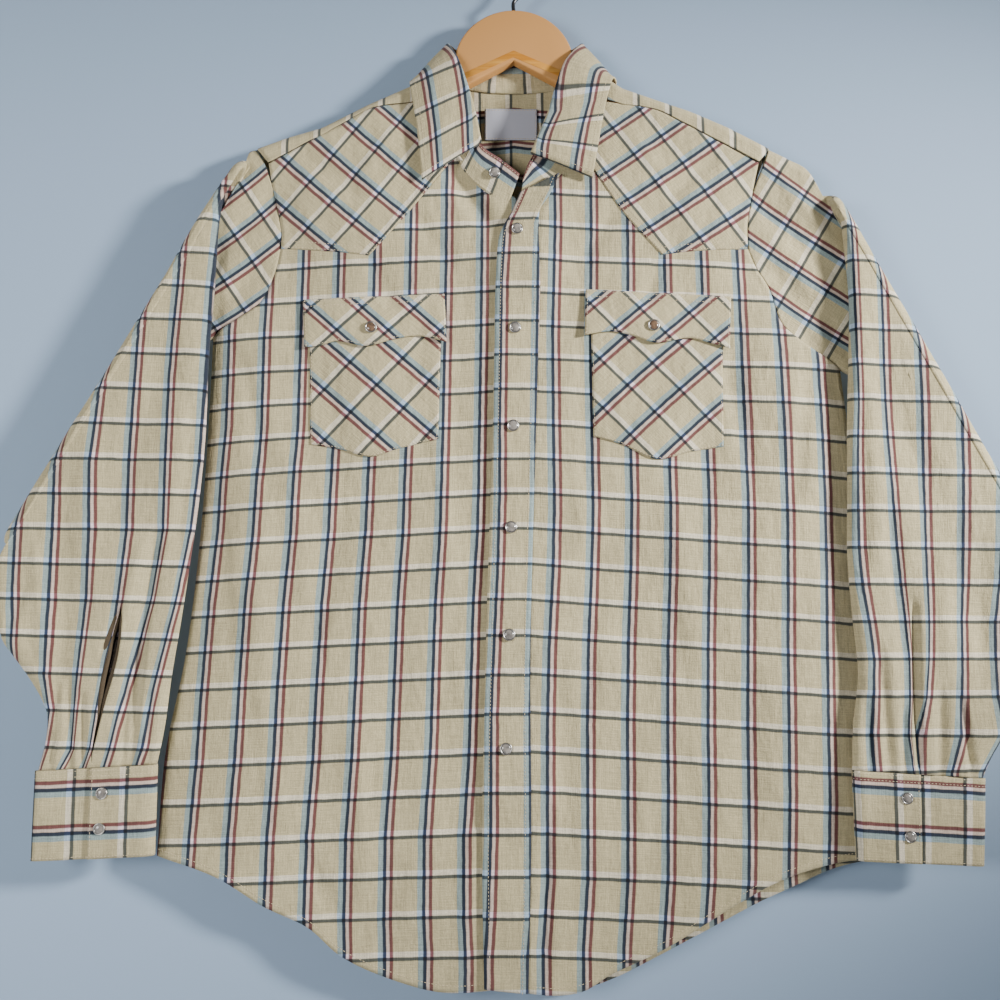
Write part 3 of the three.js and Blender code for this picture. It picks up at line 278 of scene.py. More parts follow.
RIGHT_SLEEVE_CREASES = table(
    FOLDS,
    (331, -590, 350, -760, 6, -3.24),
    (344, -600, 364, -700, 6, 1.35),
    (420, -560, 410, -760, 9, -1.76),
    (400, -500, 392, -640, 10, 1.22),
    (416, -730, 418, -806, 3.5, -2.43),
    (392, -738, 388, -806, 3.5, -2.16),
    (354, -720, 352, -806, 3.5, -1.89),
    (330, -740, 332, -806, 3.5, -2.03),
    (440, -600, 430, -700, 7, 1.08),
    (300, -470, 312, -620, 7, -1.35),
    (375, -700, 362, -660, 4, -1.62),
    (450, -640, 466, -690, 6, -1.35),
)
LEFT_SLEEVE_FOLDS = table(
    FOLDS,
    (332, -700, 335, -812, 5, -2.2),
    (384, -735, 380, -815, 5, -2.4),
    (345, -420, 425, -690, 16, -1.6),
    (330, -330, 330, -620, 14, 1.2),
)
LEFT_SLEEVE_CREASES = table(
    FOLDS,
    (364, -656, 360, -802, 2.6, -3.24),
    (374, -640, 364, -790, 6, 1.35),
    (345, -560, 356, -760, 8, -1.49),
    (396, -560, 392, -720, 10, 1.22),
    (402, -742, 408, -808, 3.5, -2.29),
    (350, -752, 348, -808, 3.5, -2.03),
    (318, -740, 316, -806, 3.5, -1.89),
    (430, -600, 424, -730, 8, -1.35),
    (326, -460, 322, -620, 7, -1.35),
    (445, -640, 462, -700, 6, -1.35),
)
# Soft folds of the sleeves' upper part, x counted outward
CAP_CREASES = table(
    FOLDS,
    (236, -262, 300, -330, 10, -1.62),
    (246, -330, 330, -420, 11, -2.16),
    (262, -372, 350, -500, 12, -1.8),
    (262, -240, 330, -330, 9, 1.44),
)

# The collar from the wearer's right front end round the neck to the left: seam, top, free edge
COLLAR = table(
    "sx sy sz tx ty tz ex ey ez leaf",
    (-3, -10.6, -260, 5, -13.2, -238, 0, 0, 0, 0),
    (-22, -10.2, -247, -13, -13, -223, 0, 0, 0, 0),
    (-43, -9.4, -228, -33, -13, -207, -90, -15.5, -245, 1),
    (-62, -9, -180, -42.5, -13, -165, -95.5, -15.5, -192, 1),
    (-75, -8.8, -137, -57, -10.5, -119, -103.5, -11.5, -142, 1),
    (-79.5, 0, -122, -65, 0, -97, -103, 1, -136.5, 1),
    (-66, 8.4, -130, -56, 10, -97, -92, 14, -141, 1),
    (0, 8.8, -139, 0, 11.2, -101, 0, 16.5, -147, 1),
    (66, 8.4, -130, 56, 10, -97, 92, 14, -141, 1),
    (80, 0, -122, 67, 0, -97, 103, 1, -136.5, 1),
    (76, -8.8, -137, 52, -10.5, -122, 99, -11.5, -136, 1),
    (64, -9, -180, 35, -13, -176, 91.5, -15.5, -160, 1),
    (46, -9.4, -236, 18, -13.2, -219, 76, -15.5, -243.5, 1),
    (27, -10.4, -247, 13, -13.4, -229, 0, 0, 0, 0),
    (7, -10.8, -256, 9, -13.4, -243, 0, 0, 0, 0),
)
NECK_MIDDLE = np.array((0, 0, -175.0))
ROLL = table("up away", (0.6, -0.5), (2.4, 0.5), (2.9, 2.2), (1.6, 3.8), (-2.5, 4.6))

# Half width of the open slit above the right cuff, and the line of the closed one on the left
RIGHT_SLIT = table(
    "z x open",
    (-655, 360, 0), (-660, 360, 1), (-672, 361.5, 9), (-690, 364, 14), (-706, 366.5, 14), (-724, 370, 13),
    (-742, 373, 8), (-760, 375, 3.5), (-778, 378, 2.2), (-790, 380, 1), (-798, 380, 0),
)
# How far the slit's binding reaches under the cloth and into the slit
BINDING_HOLD = 5
BINDING_SHOW = 5.2
LEFT_SLIT = table("z x open", (-655, 364, 0), (-706, 363, 0), (-800, 360, 0))

# Hanger
HUB_RADIUS = 60
HUB_TOP = -60
HANGER_THICK = 12
ARM_TOP = table("x z", (61, -122), (78, -137), (104, -151), (142, -169.5), (190, -195), (206, -204))
ARM_LOW = table("x z", (209, -214), (203, -223), (170, -208), (104, -174), (44, -139.5), (0, -114.5))
WIRE = 2
HOOK_RADIUS = 18
STEM_IN_HUB = 13

# Where the numbered stripes of the check lie. u counts navy warp stripes, v counts black weft stripes
RIGHT_FRONT_WARP = table(
    "z first last",
    (-963.5, -294.1, -44.5), (-933.3, -294.5, -46.1), (-863.3, -293.1, -46.5), (-792.6, -288.8, -42),
    (-733.9, -287.1, -40.5), (-655, -283.7, -38.7), (-588.2, -278.2, -35), (-540.1, -276.8, -34),
    (-488.4, -273.6, -33.4), (-405.4, -274.3, -32.2), (-314.3, -273.8, -31.5), (-230, -273.8, -31.5),
)
RIGHT_FRONT_WEFT = table(
    "number outer inner",
    (-4, -233, -222.7), (-2, -302, -290), (0, -370.6, -356.7), (2, -438.5, -423.1), (4, -504.7, -488.8),
    (6, -569.4, -554.6), (8, -634.3, -621.8), (10, -699.7, -687.7), (12, -767.6, -757), (14, -836.1, -826.7),
    (16, -905, -897), (18, -973, -966), (20, -1041, -1035),
)
LEFT_FRONT_WARP = table(
    "z first last",
    (-959.3, 24.2, 273.3), (-900.2, 28.5, 279.5), (-835.5, 28.7, 283.1), (-765.2, 29.1, 284.5),
    (-693.3, 31.1, 286.3), (-629.1, 34.9, 288.8), (-563.7, 36.9, 290.8), (-488.4, 36.4, 291),
    (-396.5, 36.3, 289.8), (-294, 39.5, 286.4),
)
LEFT_FRONT_WEFT = table(
    "number inner outer",
    (-4, -224, -236), (-2, -291, -304.2), (0, -358.7, -366.7), (2, -424.1, -432.9), (4, -488.1, -501.6),
    (6, -553.8, -571.1), (8, -620.6, -639.8), (10, -686.5, -705), (12, -755.4, -773.9), (14, -825.3, -843),
    (16, -897.6, -911.2), (18, -966, -980), (20, -1034, -1048),
)
FRONT_LINES = 7
RIGHT_SLEEVE_WARP = table(
    "z a b c d",
    (-805, -429.1, -408.3, -369.5, -341), (-785.6, -425.2, -399.7, -364.4, -335.3),
    (-751.8, -421.5, -398.8, -357.8, -330.8), (-720.5, -427.1, -396.9, -350.5, -324.7),
    (-652.2, -426.3, -393, -334, -310.4), (-587.2, -426.8, -392.7, -324.7, -300),
    (-525.8, -428.1, -395.4, -325.3, -294.8), (-443.7, -425.5, -389.9, -325.7, -291.9),
    (-356.7, -424, -389.5, -320.9, -289.6), (-287.9, -422, -389, -319.5, -284.5),
)
RIGHT_SLEEVE_NUMBERS = (-1, 0, 2, 3)
RIGHT_SLEEVE_WEFT = table(
    "number outer inner",
    (-10, -178, -187), (-8, -247, -253.6), (-6, -315.6, -322.2), (-4, -384.2, -388.6), (-2, -452.8, -456.4),
    (0, -521.4, -522.9), (2, -587.2, -588.8), (4, -652.2, -655.9), (6, -718.7, -722.3), (8, -784.4, -787.3),
    (10, -850, -853),
)
LEFT_SLEEVE_WARP = table(
    "z a b c d",
    (-806.4, 320.5, 356, 360.5, 389.2), (-773.5, 319.8, 353.5, 360.1, 399.9),
    (-739.5, 323, 356.7, 369.3, 402.1), (-705.9, 325.2, 357.8, 373.5, 404.5),
    (-671.7, 322, 355.9, 375.8, 406.6), (-638.2, 317.5, 353.6, 376.9, 410.2),
    (-603.6, 316.2, 351.9, 377.8, 412.4), (-569.4, 317.3, 350.4, 379.3, 414.5),
    (-534.9, 318.7, 349.1, 380.2, 416.7), (-500.8, 320.4, 348.1, 381, 417.7),
    (-467.9, 322.7, 347.9, 382, 419.8), (-300, 324, 350, 384, 421),
)
LEFT_SLEEVE_NUMBERS = (0, 1, 2, 3)
LEFT_SLEEVE_WEFT = table(
    "number inner outer",
    (-6, -260, -264), (-4, -329, -332), (-2, -397, -400), (0, -464.7, -467.9), (1, -500, -503.1),
    (2, -534.9, -537.2), (3, -570.2, -571), (4, -604.4, -605.9), (5, -638.2, -639), (6, -672.2, -672.6),
    (7, -705.9, -705.9), (8, -739.5, -739.5), (9, -773.5, -774.2), (10, -806.4, -804.5), (11, -840, -838),
)
BAND_WARP = table(
    "z first last",
    (-966, -26.9, 10.3), (-933.3, -24.8, 13.3), (-862, -22.2, 13.4), (-756.3, -22.2, 13.3),
    (-685.1, -19.1, 14.9), (-618.9, -15.9, 17.5), (-553.3, -14.3, 19.3), (-488, -14.3, 19.6),
    (-345, -12.5, 22.5), (-290, -9, 24), (-255, 6, 40),
)
BAND_WEFT = table(
    "number z",
    (-7, -251), (-6, -285), (-4, -353), (-2, -420), (0, -487.3), (1, -520.7), (2, -553.5), (3, -586.3),
    (4, -619.1), (5, -651.7), (6, -684.7), (7, -720.5), (8, -755.4), (9, -790), (10, -825.1), (11, -861.5),
    (12, -897.6), (13, -933.3), (14, -964.4), (15, -998),
)
# Points on numbered stripes of the pieces that are cut on the bias
POINT = "number x z"
BIAS = {
    "front_yoke_right": (
        table(
            POINT,
            (0, -130.1, -211.5), (0, -109.3, -229.6), (1, -187.8, -211.5), (1, -156.3, -234.8),
            (1, -133.3, -254.5), (1, -109.5, -276.6), (2, -222.6, -220.2), (2, -199.9, -246.8),
            (2, -180.9, -266.4), (2, -155.4, -281.8), (2, -129.2, -303.7), (3, -233.6, -259.6),
            (3, -199.5, -292.8), (3, -179, -309.6),
        ),
        table(
            POINT,
            (0, -172.3, -211.5), (0, -220.3, -269.9), (1, -138.1, -211.5), (1, -217.7, -311.3),
            (2, -102.4, -221.9), (2, -179.8, -312.1), (3, -107.9, -276.6), (3, -141, -318),
        ),
    ),
    "front_yoke_left": (
        table(
            POINT,
            (0, 87.9, -237.4), (0, 115.2, -216.7), (1, 104.6, -268.1), (1, 180.4, -215), (2, 123.4, -295.2),
            (2, 242.4, -213.3), (3, 158.4, -316.4), (3, 229.2, -268.1),
        ),
        table(
            POINT,
            (3, 90.5, -237.4), (3, 147.2, -315.4), (2, 116.1, -215), (2, 189.1, -310.3), (1, 156, -211.5),
            (1, 226.9, -312.1), (0, 196.9, -211.5), (0, 230.9, -263),
        ),
    ),
    "pocket_flap_right": (
        table(POINT, (1, -203.2, -366.4), (1, -168.3, -396.1), (0, -153.7, -365.6), (0, -122.3, -395.2)),
        table(POINT, (0, -171.4, -396.9), (0, -135.5, -363.9), (1, -148.4, -421.9), (1, -112.5, -388.9)),
    ),
    "pocket_flap_left": (
        table(
            POINT,
            (0, 96.2, -392.7), (0, 135.7, -361.4), (1, 141.2, -401.8), (1, 187.7, -360.6), (2, 192.8, -401.8),
            (2, 207.6, -388.6),
        ),
        table(
            POINT,
            (2, 72.6, -368.1), (2, 108.5, -405.1), (1, 104.7, -360.6), (1, 142.1, -401.8), (0, 150.9, -361.4),
            (0, 192.8, -403.4),
        ),
    ),
    "pocket_right": (
        table(POINT, (1, -180.7, -405.9), (1, -135.6, -444.2), (1, -110.1, -468.3), (2, -194.1, -442.5),
              (2, -157.1, -472.9)),
        table(POINT, (0, -191.9, -465.1), (0, -158, -427.9), (0, -142.5, -411.6), (1, -166.9, -488.1),
              (1, -117.5, -434.6)),
    ),
    "pocket_left": (
        table(
            POINT,
            (0, 71.8, -431.2), (0, 105.5, -402.6), (1, 84.6, -471.6), (1, 154.6, -406.7), (2, 129.4, -472.9),
            (2, 202, -414.9), (2, 99.8, -506.4), (3, 134.7, -520.7), (3, 198.1, -464.8),
        ),
        table(
            POINT,
            (0, 154.6, -407.6), (0, 199.9, -451.4), (1, 106.2, -403.4), (1, 159, -453.1), (1, 199.4, -497.7),
            (2, 118.7, -463.2), (2, 167.8, -512.8), (3, 84, -469.6), (3, 128.5, -519.1),
        ),
    ),
    "cap_right": (
        table(
            POINT,
            (0, -243.5, -232.2), (0, -282.9, -263), (1, -233.7, -257), (1, -282.9, -304.6),
            (2, -228.2, -306.2),
            (2, -286.1, -348.9), (3, -236.3, -353.2), (3, -277.7, -382.1),
        ),
        table(
            POINT,
            (0, -277.5, -234), (0, -229, -304.6), (1, -280.4, -286.9), (1, -236.4, -352.2),
            (2, -283.2, -340.6),
            (2, -262.8, -373),
        ),
    ),
    "cap_left": (
        table(
            POINT,
            (3, 246, -228.2), (3, 312.8, -277.5), (2, 232.6, -263), (2, 318.6, -327.2), (1, 228.8, -300.3),
            (1, 319.7, -371.4), (0, 247.6, -359), (0, 318.2, -401.8),
        ),
        table(
            POINT,
            (0, 271.6, -216.7), (0, 229.4, -285.1), (1, 296.9, -235.6), (1, 239.6, -335.6),
            (2, 312.8, -277.5),
            (2, 252.7, -372.1), (3, 317.7, -330.5), (3, 273.1, -401.8),
        ),
    ),
}
WARP_REPEAT = 35
WEFT_REPEAT = 34


def smooth_curve(points, per=24):
    """Points close together on a centripetal curve through a few points."""
    points = np.asarray(points, float)
    ends = 2 * points[:1] - points[1:2], 2 * points[-1:] - points[-2:-1]
    around = np.concatenate([ends[0], points, ends[1]])
    steps = np.sqrt(np.linalg.norm(np.diff(around, axis=0), axis=1))
    share = np.linspace(0, 1, per, endpoint=False)[:, None]
    spans = []
    for i in range(len(points) - 1):
        p0, p1, p2, p3 = around[i : i + 4]
        d0, d1, d2 = steps[i : i + 3]
        leave = ((p1 - p0) / d0 - (p2 - p0) / (d0 + d1) + (p2 - p1) / d1) * d1
        reach = ((p2 - p1) / d1 - (p3 - p1) / (d1 + d2) + (p3 - p2) / d2) * d1
        cubic = 2 * (p1 - p2) + leave + reach
        square = 3 * (p2 - p1) - 2 * leave - reach
        spans.append(p1 + share * (leave + share * (square + share * cubic)))
    return np.concatenate([*spans, points[-1:]])


def curve_of(rows, sign=1):
    """A smooth curve through the rows of an outline, on one side of the shirt."""
    return smooth_curve(np.stack([sign * rows["x"], np.zeros(len(rows)), rows["z"]], 1))


class Route:
    """Curves that meet at corners, read by share of the whole length."""

    def __init__(self, *curves):
        self.points = np.concatenate([curves[0], *[curve[1:] for curve in curves[1:]]])
        run = np.concatenate([[0], np.cumsum(np.linalg.norm(np.diff(self.points, axis=0), axis=1))])
        self.length = run[-1]
        self.shares = run / run[-1]
        ends = np.cumsum([len(curve) - 1 for curve in curves])
        self.corners = np.concatenate([[0], self.shares[ends]])

    def at(self, share):
        share = np.asarray(share, float)
        inside = np.clip(share, 0, 1)
        point = np.stack([np.interp(inside, self.shares, self.points[:, k]) for k in range(3)], -1)
        first = (self.points[1] - self.points[0]) / self.shares[1]
        last = (self.points[-1] - self.points[-2]) / (1 - self.shares[-2])
        over = (share - inside)[..., None]
        return point + over * np.where(over > 0, last, first)

    def stations(self, count):
        """Shares of about even steps that keep the corners."""
        spans = np.diff(self.corners)
        counts = np.maximum(1, np.round(spans * count)).astype(int)
        counts[np.argmax(counts)] += count - counts.sum()
        steps = [np.linspace(self.corners[k], self.corners[k + 1], n + 1)[1:] for k, n in enumerate(counts)]
        return np.concatenate([[0], *steps])


def patch(edges, s, t):
    """Points inside four routes: top and bottom run the same way, left and right both run down."""
    top, bottom, left, right = edges
    across, down = s[..., None], t[..., None]
    sides = top.at(s) * (1 - down) + bottom.at(s) * down + left.at(t) * (1 - across) + right.at(t) * across
    upper = top.at(0) * (1 - across) + top.at(1) * across
    lower = bottom.at(0) * (1 - across) + bottom.at(1) * across
    return sides - upper * (1 - down) - lower * down


def mesh_shares(top_shares, left_shares):
    """The two shares of every point of a grid."""
    return np.meshgrid(top_shares, left_shares)


def spread(values, length, inset=0.2):
    """Shares kept a little inside the ends of a route, or beyond them where inset is negative."""
    edge = inset / length
    return edge + np.asarray(values) * (1 - 2 * edge)


def smoothstep(value):
    value = np.clip(value, 0, 1)
    return value * value * (3 - 2 * value)


def folds_at(folds, x, z):
    """How far soft folds move the cloth outward at each place."""
    total = np.zeros(np.shape(x))
    for fold in folds:
        dx, dz = fold["x1"] - fold["x0"], fold["z1"] - fold["z0"]
        along = ((x - fold["x0"]) * dx + (z - fold["z0"]) * dz) / (dx * dx + dz * dz)
        near = np.clip(along, 0, 1)
        gap = np.hypot(x - fold["x0"] - dx * near, z - fold["z0"] - dz * near)
        fade = smoothstep(np.minimum(along + 0.25, 1.25 - along) / 0.5)
        total += FOLD_GAIN * fold["depth"] * fade * np.exp(-((gap / fold["width"]) ** 2))
    return total


def ripple(x, z, height=0.55):
    """The slight unevenness of cloth that hangs, the same in every run."""
    low = np.sin(x / 23 + 1.3 * np.sin(z / 61)) * np.cos(z / 47 + 0.8 * np.sin(x / 39))
    fine = np.sin(x / 9.7 + 0.9 * np.sin(z / 27) + 2) * np.cos(z / 31 + 1.1)
    return height * (low + 0.45 * fine)


def full_depth(z):
    return np.interp(z, DEPTHS["z"], DEPTHS["half"])


def rise(edge, full, gap, reach=EDGE_REACH):
    return edge + (full - edge) * (1 - (1 - np.clip(gap / reach, 0, 1)) ** 2)


def round_edge(gap, radius, half):
    return half * np.sqrt(1 - (1 - np.clip(gap / radius, 0, 1)) ** 2)


def side_depth(side, point):
    """Half depth of the body along its armhole and side seam."""
    under = side["armhole_low"][-1]
    gap = np.hypot(np.abs(point[..., 0]) - under["x"], point[..., 2] - under["z"])
    above = np.maximum(CLOSED_EDGE, round_edge(gap, SLEEVE_ROUND, ARMHOLE_HALF))
    return np.where(point[..., 2] <= under["z"], CLOSED_EDGE, above)


def front_depth(x, z):
    return full_depth(z) + folds_at(FRONT_FOLDS, x, z) + folds_at(FRONT_CREASES, x, z) + ripple(x, z)


def lap_lift(x):
    return LIFT_FRONT * smoothstep((54 - x) / 26)


def distance(a, b):
    return np.linalg.norm(a - b, axis=-1)


def placed(point, y):
    return np.stack([point[..., 0], y, point[..., 2]], -1)


def front_panel(side, count):
    """One front, from its armhole and side seam to the middle."""
    sign = side["sign"]
    top = Route(*[curve_of(side[name], sign) for name in ("yoke_outer", "yoke_inner", "neck")])
    left = Route(curve_of(side["armhole_low"], sign), curve_of(side["side"], sign))
    edges = top, Route(curve_of(side["hem"], sign)), left, Route(curve_of(side["middle"], sign))
    s, t = mesh_shares(
        spread(top.stations(count[0]), top.length), spread(left.stations(count[1]), left.length)
    )
    point = patch(edges, s, t)
    edge = left.at(t)
    full = front_depth(point[..., 0], point[..., 2])
    if side is LEFT:
        full = full + lap_lift(point[..., 0])
    return placed(point, -rise(side_depth(side, edge), full, distance(point, edge)))


YOKE_OVERLAP = 1.4
YOKE_LIFT = 0.7


def front_yoke(side, count):
    """The pointed front yoke, whose lower edge lies on the front."""
    sign = side["sign"]
    start, end = side["strip"][:1], side["strip"][-1:]
    top = Route(curve_of(side["strip"], sign))
    bottom = Route(curve_of(side["yoke_outer"], sign), curve_of(side["yoke_inner"], sign))
    left = Route(curve_of(np.concatenate([start, side["armhole_top"][2:]]), sign))
    bend = table("x z", (64, -185))
    right = Route(curve_of(np.concatenate([end, bend, side["yoke_inner"][-1:]]), sign))
    down = np.linspace(0.2 / left.length, 1 + YOKE_OVERLAP / left.length, count[1] + 1)
    s, t = mesh_shares(spread(bottom.stations(count[0]), top.length), down)
    point = patch((top, bottom, left, right), s, t)
    x, z = point[..., 0], point[..., 2]
    full = front_depth(x, z) + folds_at(YOKE_CREASES, x, z)
    lift = YOKE_LIFT * smoothstep((t - 0.8) / 0.2)
    return placed(point, -rise(ARMHOLE_HALF, full, distance(point, left.at(t))) - lift)


def ridge_at(x):
    """Height of the shoulder line, level with the collar in the middle."""
    out = np.maximum(78, np.abs(x))
    heights = [np.interp(out, side["ridge"]["x"], side["ridge"]["z"]) for side in (RIGHT, LEFT)]
    return np.where(x < 0, *heights)


def over_shoulder(x, below):
    """Points of the back yoke from their distance below the shoulder line, negative in front."""
    end = np.where(x < 0, RIGHT["armhole_top"]["x"][0], LEFT["armhole_top"]["x"][0])
    drop = np.abs(below)
    z = ridge_at(x) - drop
    back = folds_at(BACK_FOLDS, x, z) + folds_at(BACK_CREASES, x, z)
    front = folds_at(FRONT_FOLDS, x, z)
    half = full_depth(z) + np.where(below > 0, back, front) + ripple(x, z)
    full = rise(ARMHOLE_HALF, half, end - np.abs(x))
    return np.stack([x, np.sign(below) * round_edge(drop, RIDGE_DROP, full), z], -1)


YOKE_LENGTH = 110
BACK_YOKE_POINT = -335
BACK_YOKE_SIDE = -292
BACK_YOKE_EDGE = 229
YOKE_ROWS = (0, 0.35, 0.65, 0.85, 0.95, 1, 1.05, 1.15, 1.35, 1.7, 2.7, 4, 5.4, 7)
BACK_NECK_FORWARD = (16.5, 4)


def back_seam(x):
    """The pointed seam between the back yoke and the back."""
    return BACK_YOKE_POINT + (BACK_YOKE_SIDE - BACK_YOKE_POINT) * np.abs(x) / BACK_YOKE_EDGE


def back_yoke(count):
    """The back yoke with its two tabs that reach over the shoulders to the front."""

    def flat(x, z, front):
        x, z = np.asarray(x, float), np.asarray(z, float)
        return np.stack([x, np.zeros(len(x)), (-1 if front else 1) * (ridge_at(x) - z)], 1)

    def neck_points(sign):
        return flat(sign * np.array([72, 77, 81]), [-158, -139, -126], True)

    across = np.array([-81, -72, -45, 0, 45, 72, 81.0])
    high, low = BACK_NECK_FORWARD
    forward = high + (low - high) * np.abs(across / 81) ** 2.2
    neck = np.stack([across, np.zeros(7), forward], 1)
    top = Route(
        smooth_curve(flat(-RIGHT["strip"]["x"], RIGHT["strip"]["z"], True)),
        smooth_curve(np.concatenate([neck_points(-1), neck, neck_points(1)[::-1]])),
        smooth_curve(flat(LEFT["strip"]["x"][::-1], LEFT["strip"]["z"][::-1], True)),
    )

    def side_route(side):
        sign, hole = side["sign"], side["armhole_top"]
        front_x = sign * np.array([side["strip"]["x"][0], hole["x"][0] - 4])
        front = flat(front_x, [side["strip"]["z"][0], hole["z"][0] - 7], True)
        shoulder = [[sign * hole["x"][0], 0, 0]]
        back_x = sign * np.append(hole["x"][1:4], BACK_YOKE_EDGE)
        back = flat(back_x, np.append(hole["z"][1:4], BACK_YOKE_SIDE), False)
        return Route(smooth_curve(np.concatenate([front, shoulder, back])))

    half = np.array([-BACK_YOKE_EDGE, -150, -70, 0.0])
    seam = smooth_curve(flat(half, back_seam(half), False))
    bottom = Route(seam, seam[::-1] * (-1, 1, 1))
    edges = top, bottom, side_route(RIGHT), side_route(LEFT)
    columns = spread(top.stations(count[0]), 2 * BACK_YOKE_EDGE)
    low, high = np.full(len(columns), 0.06), np.full(len(columns), 0.5)
    for _ in range(30):
        middle = (low + high) / 2
        past = patch(edges, columns, middle)[..., 2] > 0
        high, low = np.where(past, middle, high), np.where(past, low, middle)
    places = np.linspace(0, len(YOKE_ROWS) - 1, count[1] + 1)
    row = np.interp(places, np.arange(len(YOKE_ROWS)), YOKE_ROWS)[:, None]
    down = np.where(row <= 1, row * low, low + (1 - low) * (row - 1) / (YOKE_ROWS[-1] - 1))
    edge = 0.2 / YOKE_LENGTH
    t = edge + down * (1 - 2 * edge + YOKE_OVERLAP / YOKE_LENGTH)
    point = patch(edges, np.broadcast_to(columns, t.shape), t)
    return over_shoulder(point[..., 0], point[..., 2])


def back_panel(count):
    """The back below its yoke, one width with a curved hem."""
    half = np.array([-BACK_YOKE_EDGE, -150, -70, 0.0])
    seam = smooth_curve(np.stack([half, np.zeros(4), back_seam(half)], 1))
    top = Route(seam, seam[::-1] * (-1, 1, 1))

    def side_route(side):
        start = table("x z", (BACK_YOKE_EDGE, BACK_YOKE_SIDE))
        upper = curve_of(np.concatenate([start, side["armhole_low"]]), side["sign"])
        return Route(upper, curve_of(side["side"], side["sign"]))

    left, right = side_route(RIGHT), side_route(LEFT)
    bottom = Route(curve_of(RIGHT["back_hem"], -1), curve_of(LEFT["back_hem"][::-1], 1))
    s, t = mesh_shares(
        spread(top.stations(count[0]), 2 * BACK_YOKE_EDGE), spread(left.stations(count[1]), left.length)
    )
    point = patch((top, bottom, left, right), s, t)
    x, z = point[..., 0], point[..., 2]
    full = full_depth(z) + folds_at(BACK_FOLDS, x, z) + folds_at(BACK_CREASES, x, z) + ripple(x, z)
    depths = []
    for side, route in ((RIGHT, left), (LEFT, right)):
        edge = route.at(t)
        depths.append(rise(side_depth(side, edge), full, distance(point, edge)))
    return placed(point, np.where(s < 0.5, *depths))


def on_front(edges, count, lift, keep=False):
    """A piece that lies on the front, from the front's own points moved out."""
    across = edges[1].stations(count[0]) if keep else np.linspace(0, 1, count[0] + 1)
    s, t = mesh_shares(across, np.linspace(0, 1, count[1] + 1))
    point = patch(edges, s, t)
    x, z = point[..., 0], point[..., 2]
    return placed(point, -(front_depth(x, z) + lift(x, z, s, t)))


def straight(a, b, sign):
    return Route(curve_of(np.array([a, b], dtype=a.dtype), sign))


def patch_edges(side, name):
    top, low = side[name + "_top"], side[name + "_low"]
    sign = side["sign"]
    rails = [straight(top[k], low[k], sign) for k in (0, -1)]
    return straight(top[0], top[-1], sign), Route(curve_of(low, sign)), *rails


def pocket_panel(side, count):
    def lift(x, z, s, t):
        edge = np.minimum(np.minimum(s, 1 - s) * 125, (1 - t) * 130)
        return LIFT_FRONT - 0.7 * np.exp(-edge / 2.2) + 0.35 * np.sin(s * 9 + t * 4) * np.sin(t * 7 + 1)

    return on_front(patch_edges(side, "pocket"), count, lift, keep=True)


def flap_panel(side, count):
    def lift(x, z, s, t):
        wave = 1 + 0.8 * np.cos(s * np.pi * 4)
        edge = np.minimum(np.minimum(s, 1 - s) * 136, t * 45)
        return LIFT_FLAP + wave * t * t - 0.8 * np.exp(-edge / 2.5)

    return on_front(patch_edges(side, "flap"), count, lift, keep=True)


def band_panel(count):
    inner, outer = curve_of(BAND_INNER), curve_of(BAND_OUTER)
    top, bottom = Route(np.array([inner[0], outer[0]])), Route(np.array([inner[-1], outer[-1]]))
    edges = top, bottom, Route(inner), Route(outer)

    def lift(x, z, s, t):
        turn = 3 * smoothstep((z + 330) / 70) * (0.3 + s)
        edge = np.minimum(s, 1 - s) * 41
        pucker = 0.16 * np.sin(z / 3.1 + 2 * np.sin(z / 17)) * np.exp(-((edge - 5) / 4) ** 2)
        return LIFT_BAND + turn - 0.8 * np.exp(-edge / 1.8) + pucker

    return on_front(edges, count, lift)


RING_FACE = 34
RING_TURN = 10


def sleeve_ring(width, split, opening):
    """Places along a flattened tube's width and their height, from the slit's line round to it."""
    angle = np.linspace(0, np.pi, RING_TURN + 1)
    start = split * width
    first = np.linspace(start, SLEEVE_ROUND, RING_FACE, endpoint=False)
    last = np.linspace(width - SLEEVE_ROUND, start, RING_FACE + 1)[1:]
    first = first - opening / 2 * np.exp(-(((start - first) / 16) ** 2))
    last = last + opening / 2 * np.exp(-(((last - start) / 16) ** 2))
    back = np.linspace(SLEEVE_ROUND, width - SLEEVE_ROUND, 2 * RING_FACE + 1)[1:-1]
    turn = SLEEVE_ROUND * (1 - np.sin(angle))
    along = np.concatenate([first, turn, back, width - turn[::-1], last])
    height = np.cos(angle)
    flat = [np.ones(RING_FACE), height, -np.ones(len(back)), height[::-1], np.ones(RING_FACE)]
    return along, np.concatenate(flat)


RING_COUNT = 4 * RING_FACE + 2 * RING_TURN


def unit(vector):
    return vector / np.linalg.norm(vector)


@functools.lru_cache(maxsize=None)
def fold_frame(name):
    """The line of a sleeve's diagonal fold: its ends, its direction and the way out of the fold."""
    side = SIDES[name]
    sign = side["sign"]
    tip, end = [np.array((sign * p[0], 0.0, p[1])) for p in (side["fold_tip"], side["fold_end"])]
    along = unit(end - tip)
    out = np.array((-along[2], 0, along[0])) * sign
    reach = FOLD_RADIUS + SLEEVE_HALF
    return tip - out * reach, end - out * reach, along, out


CAP_STEPS = 62
TURN_STEPS = 12
LOWER_STEPS = 130


def underarm_route(start, end, out):
    """The underarm edge behind the fold, bowed away from the body."""
    bows = table("share bow", (0, 0), (0.12, 9), (0.4, 17), (0.75, 11), (1, 0))
    share, bow = bows["share"][:, None], bows["bow"][:, None]
    return Route(smooth_curve(start + (end - start) * share + out * bow))


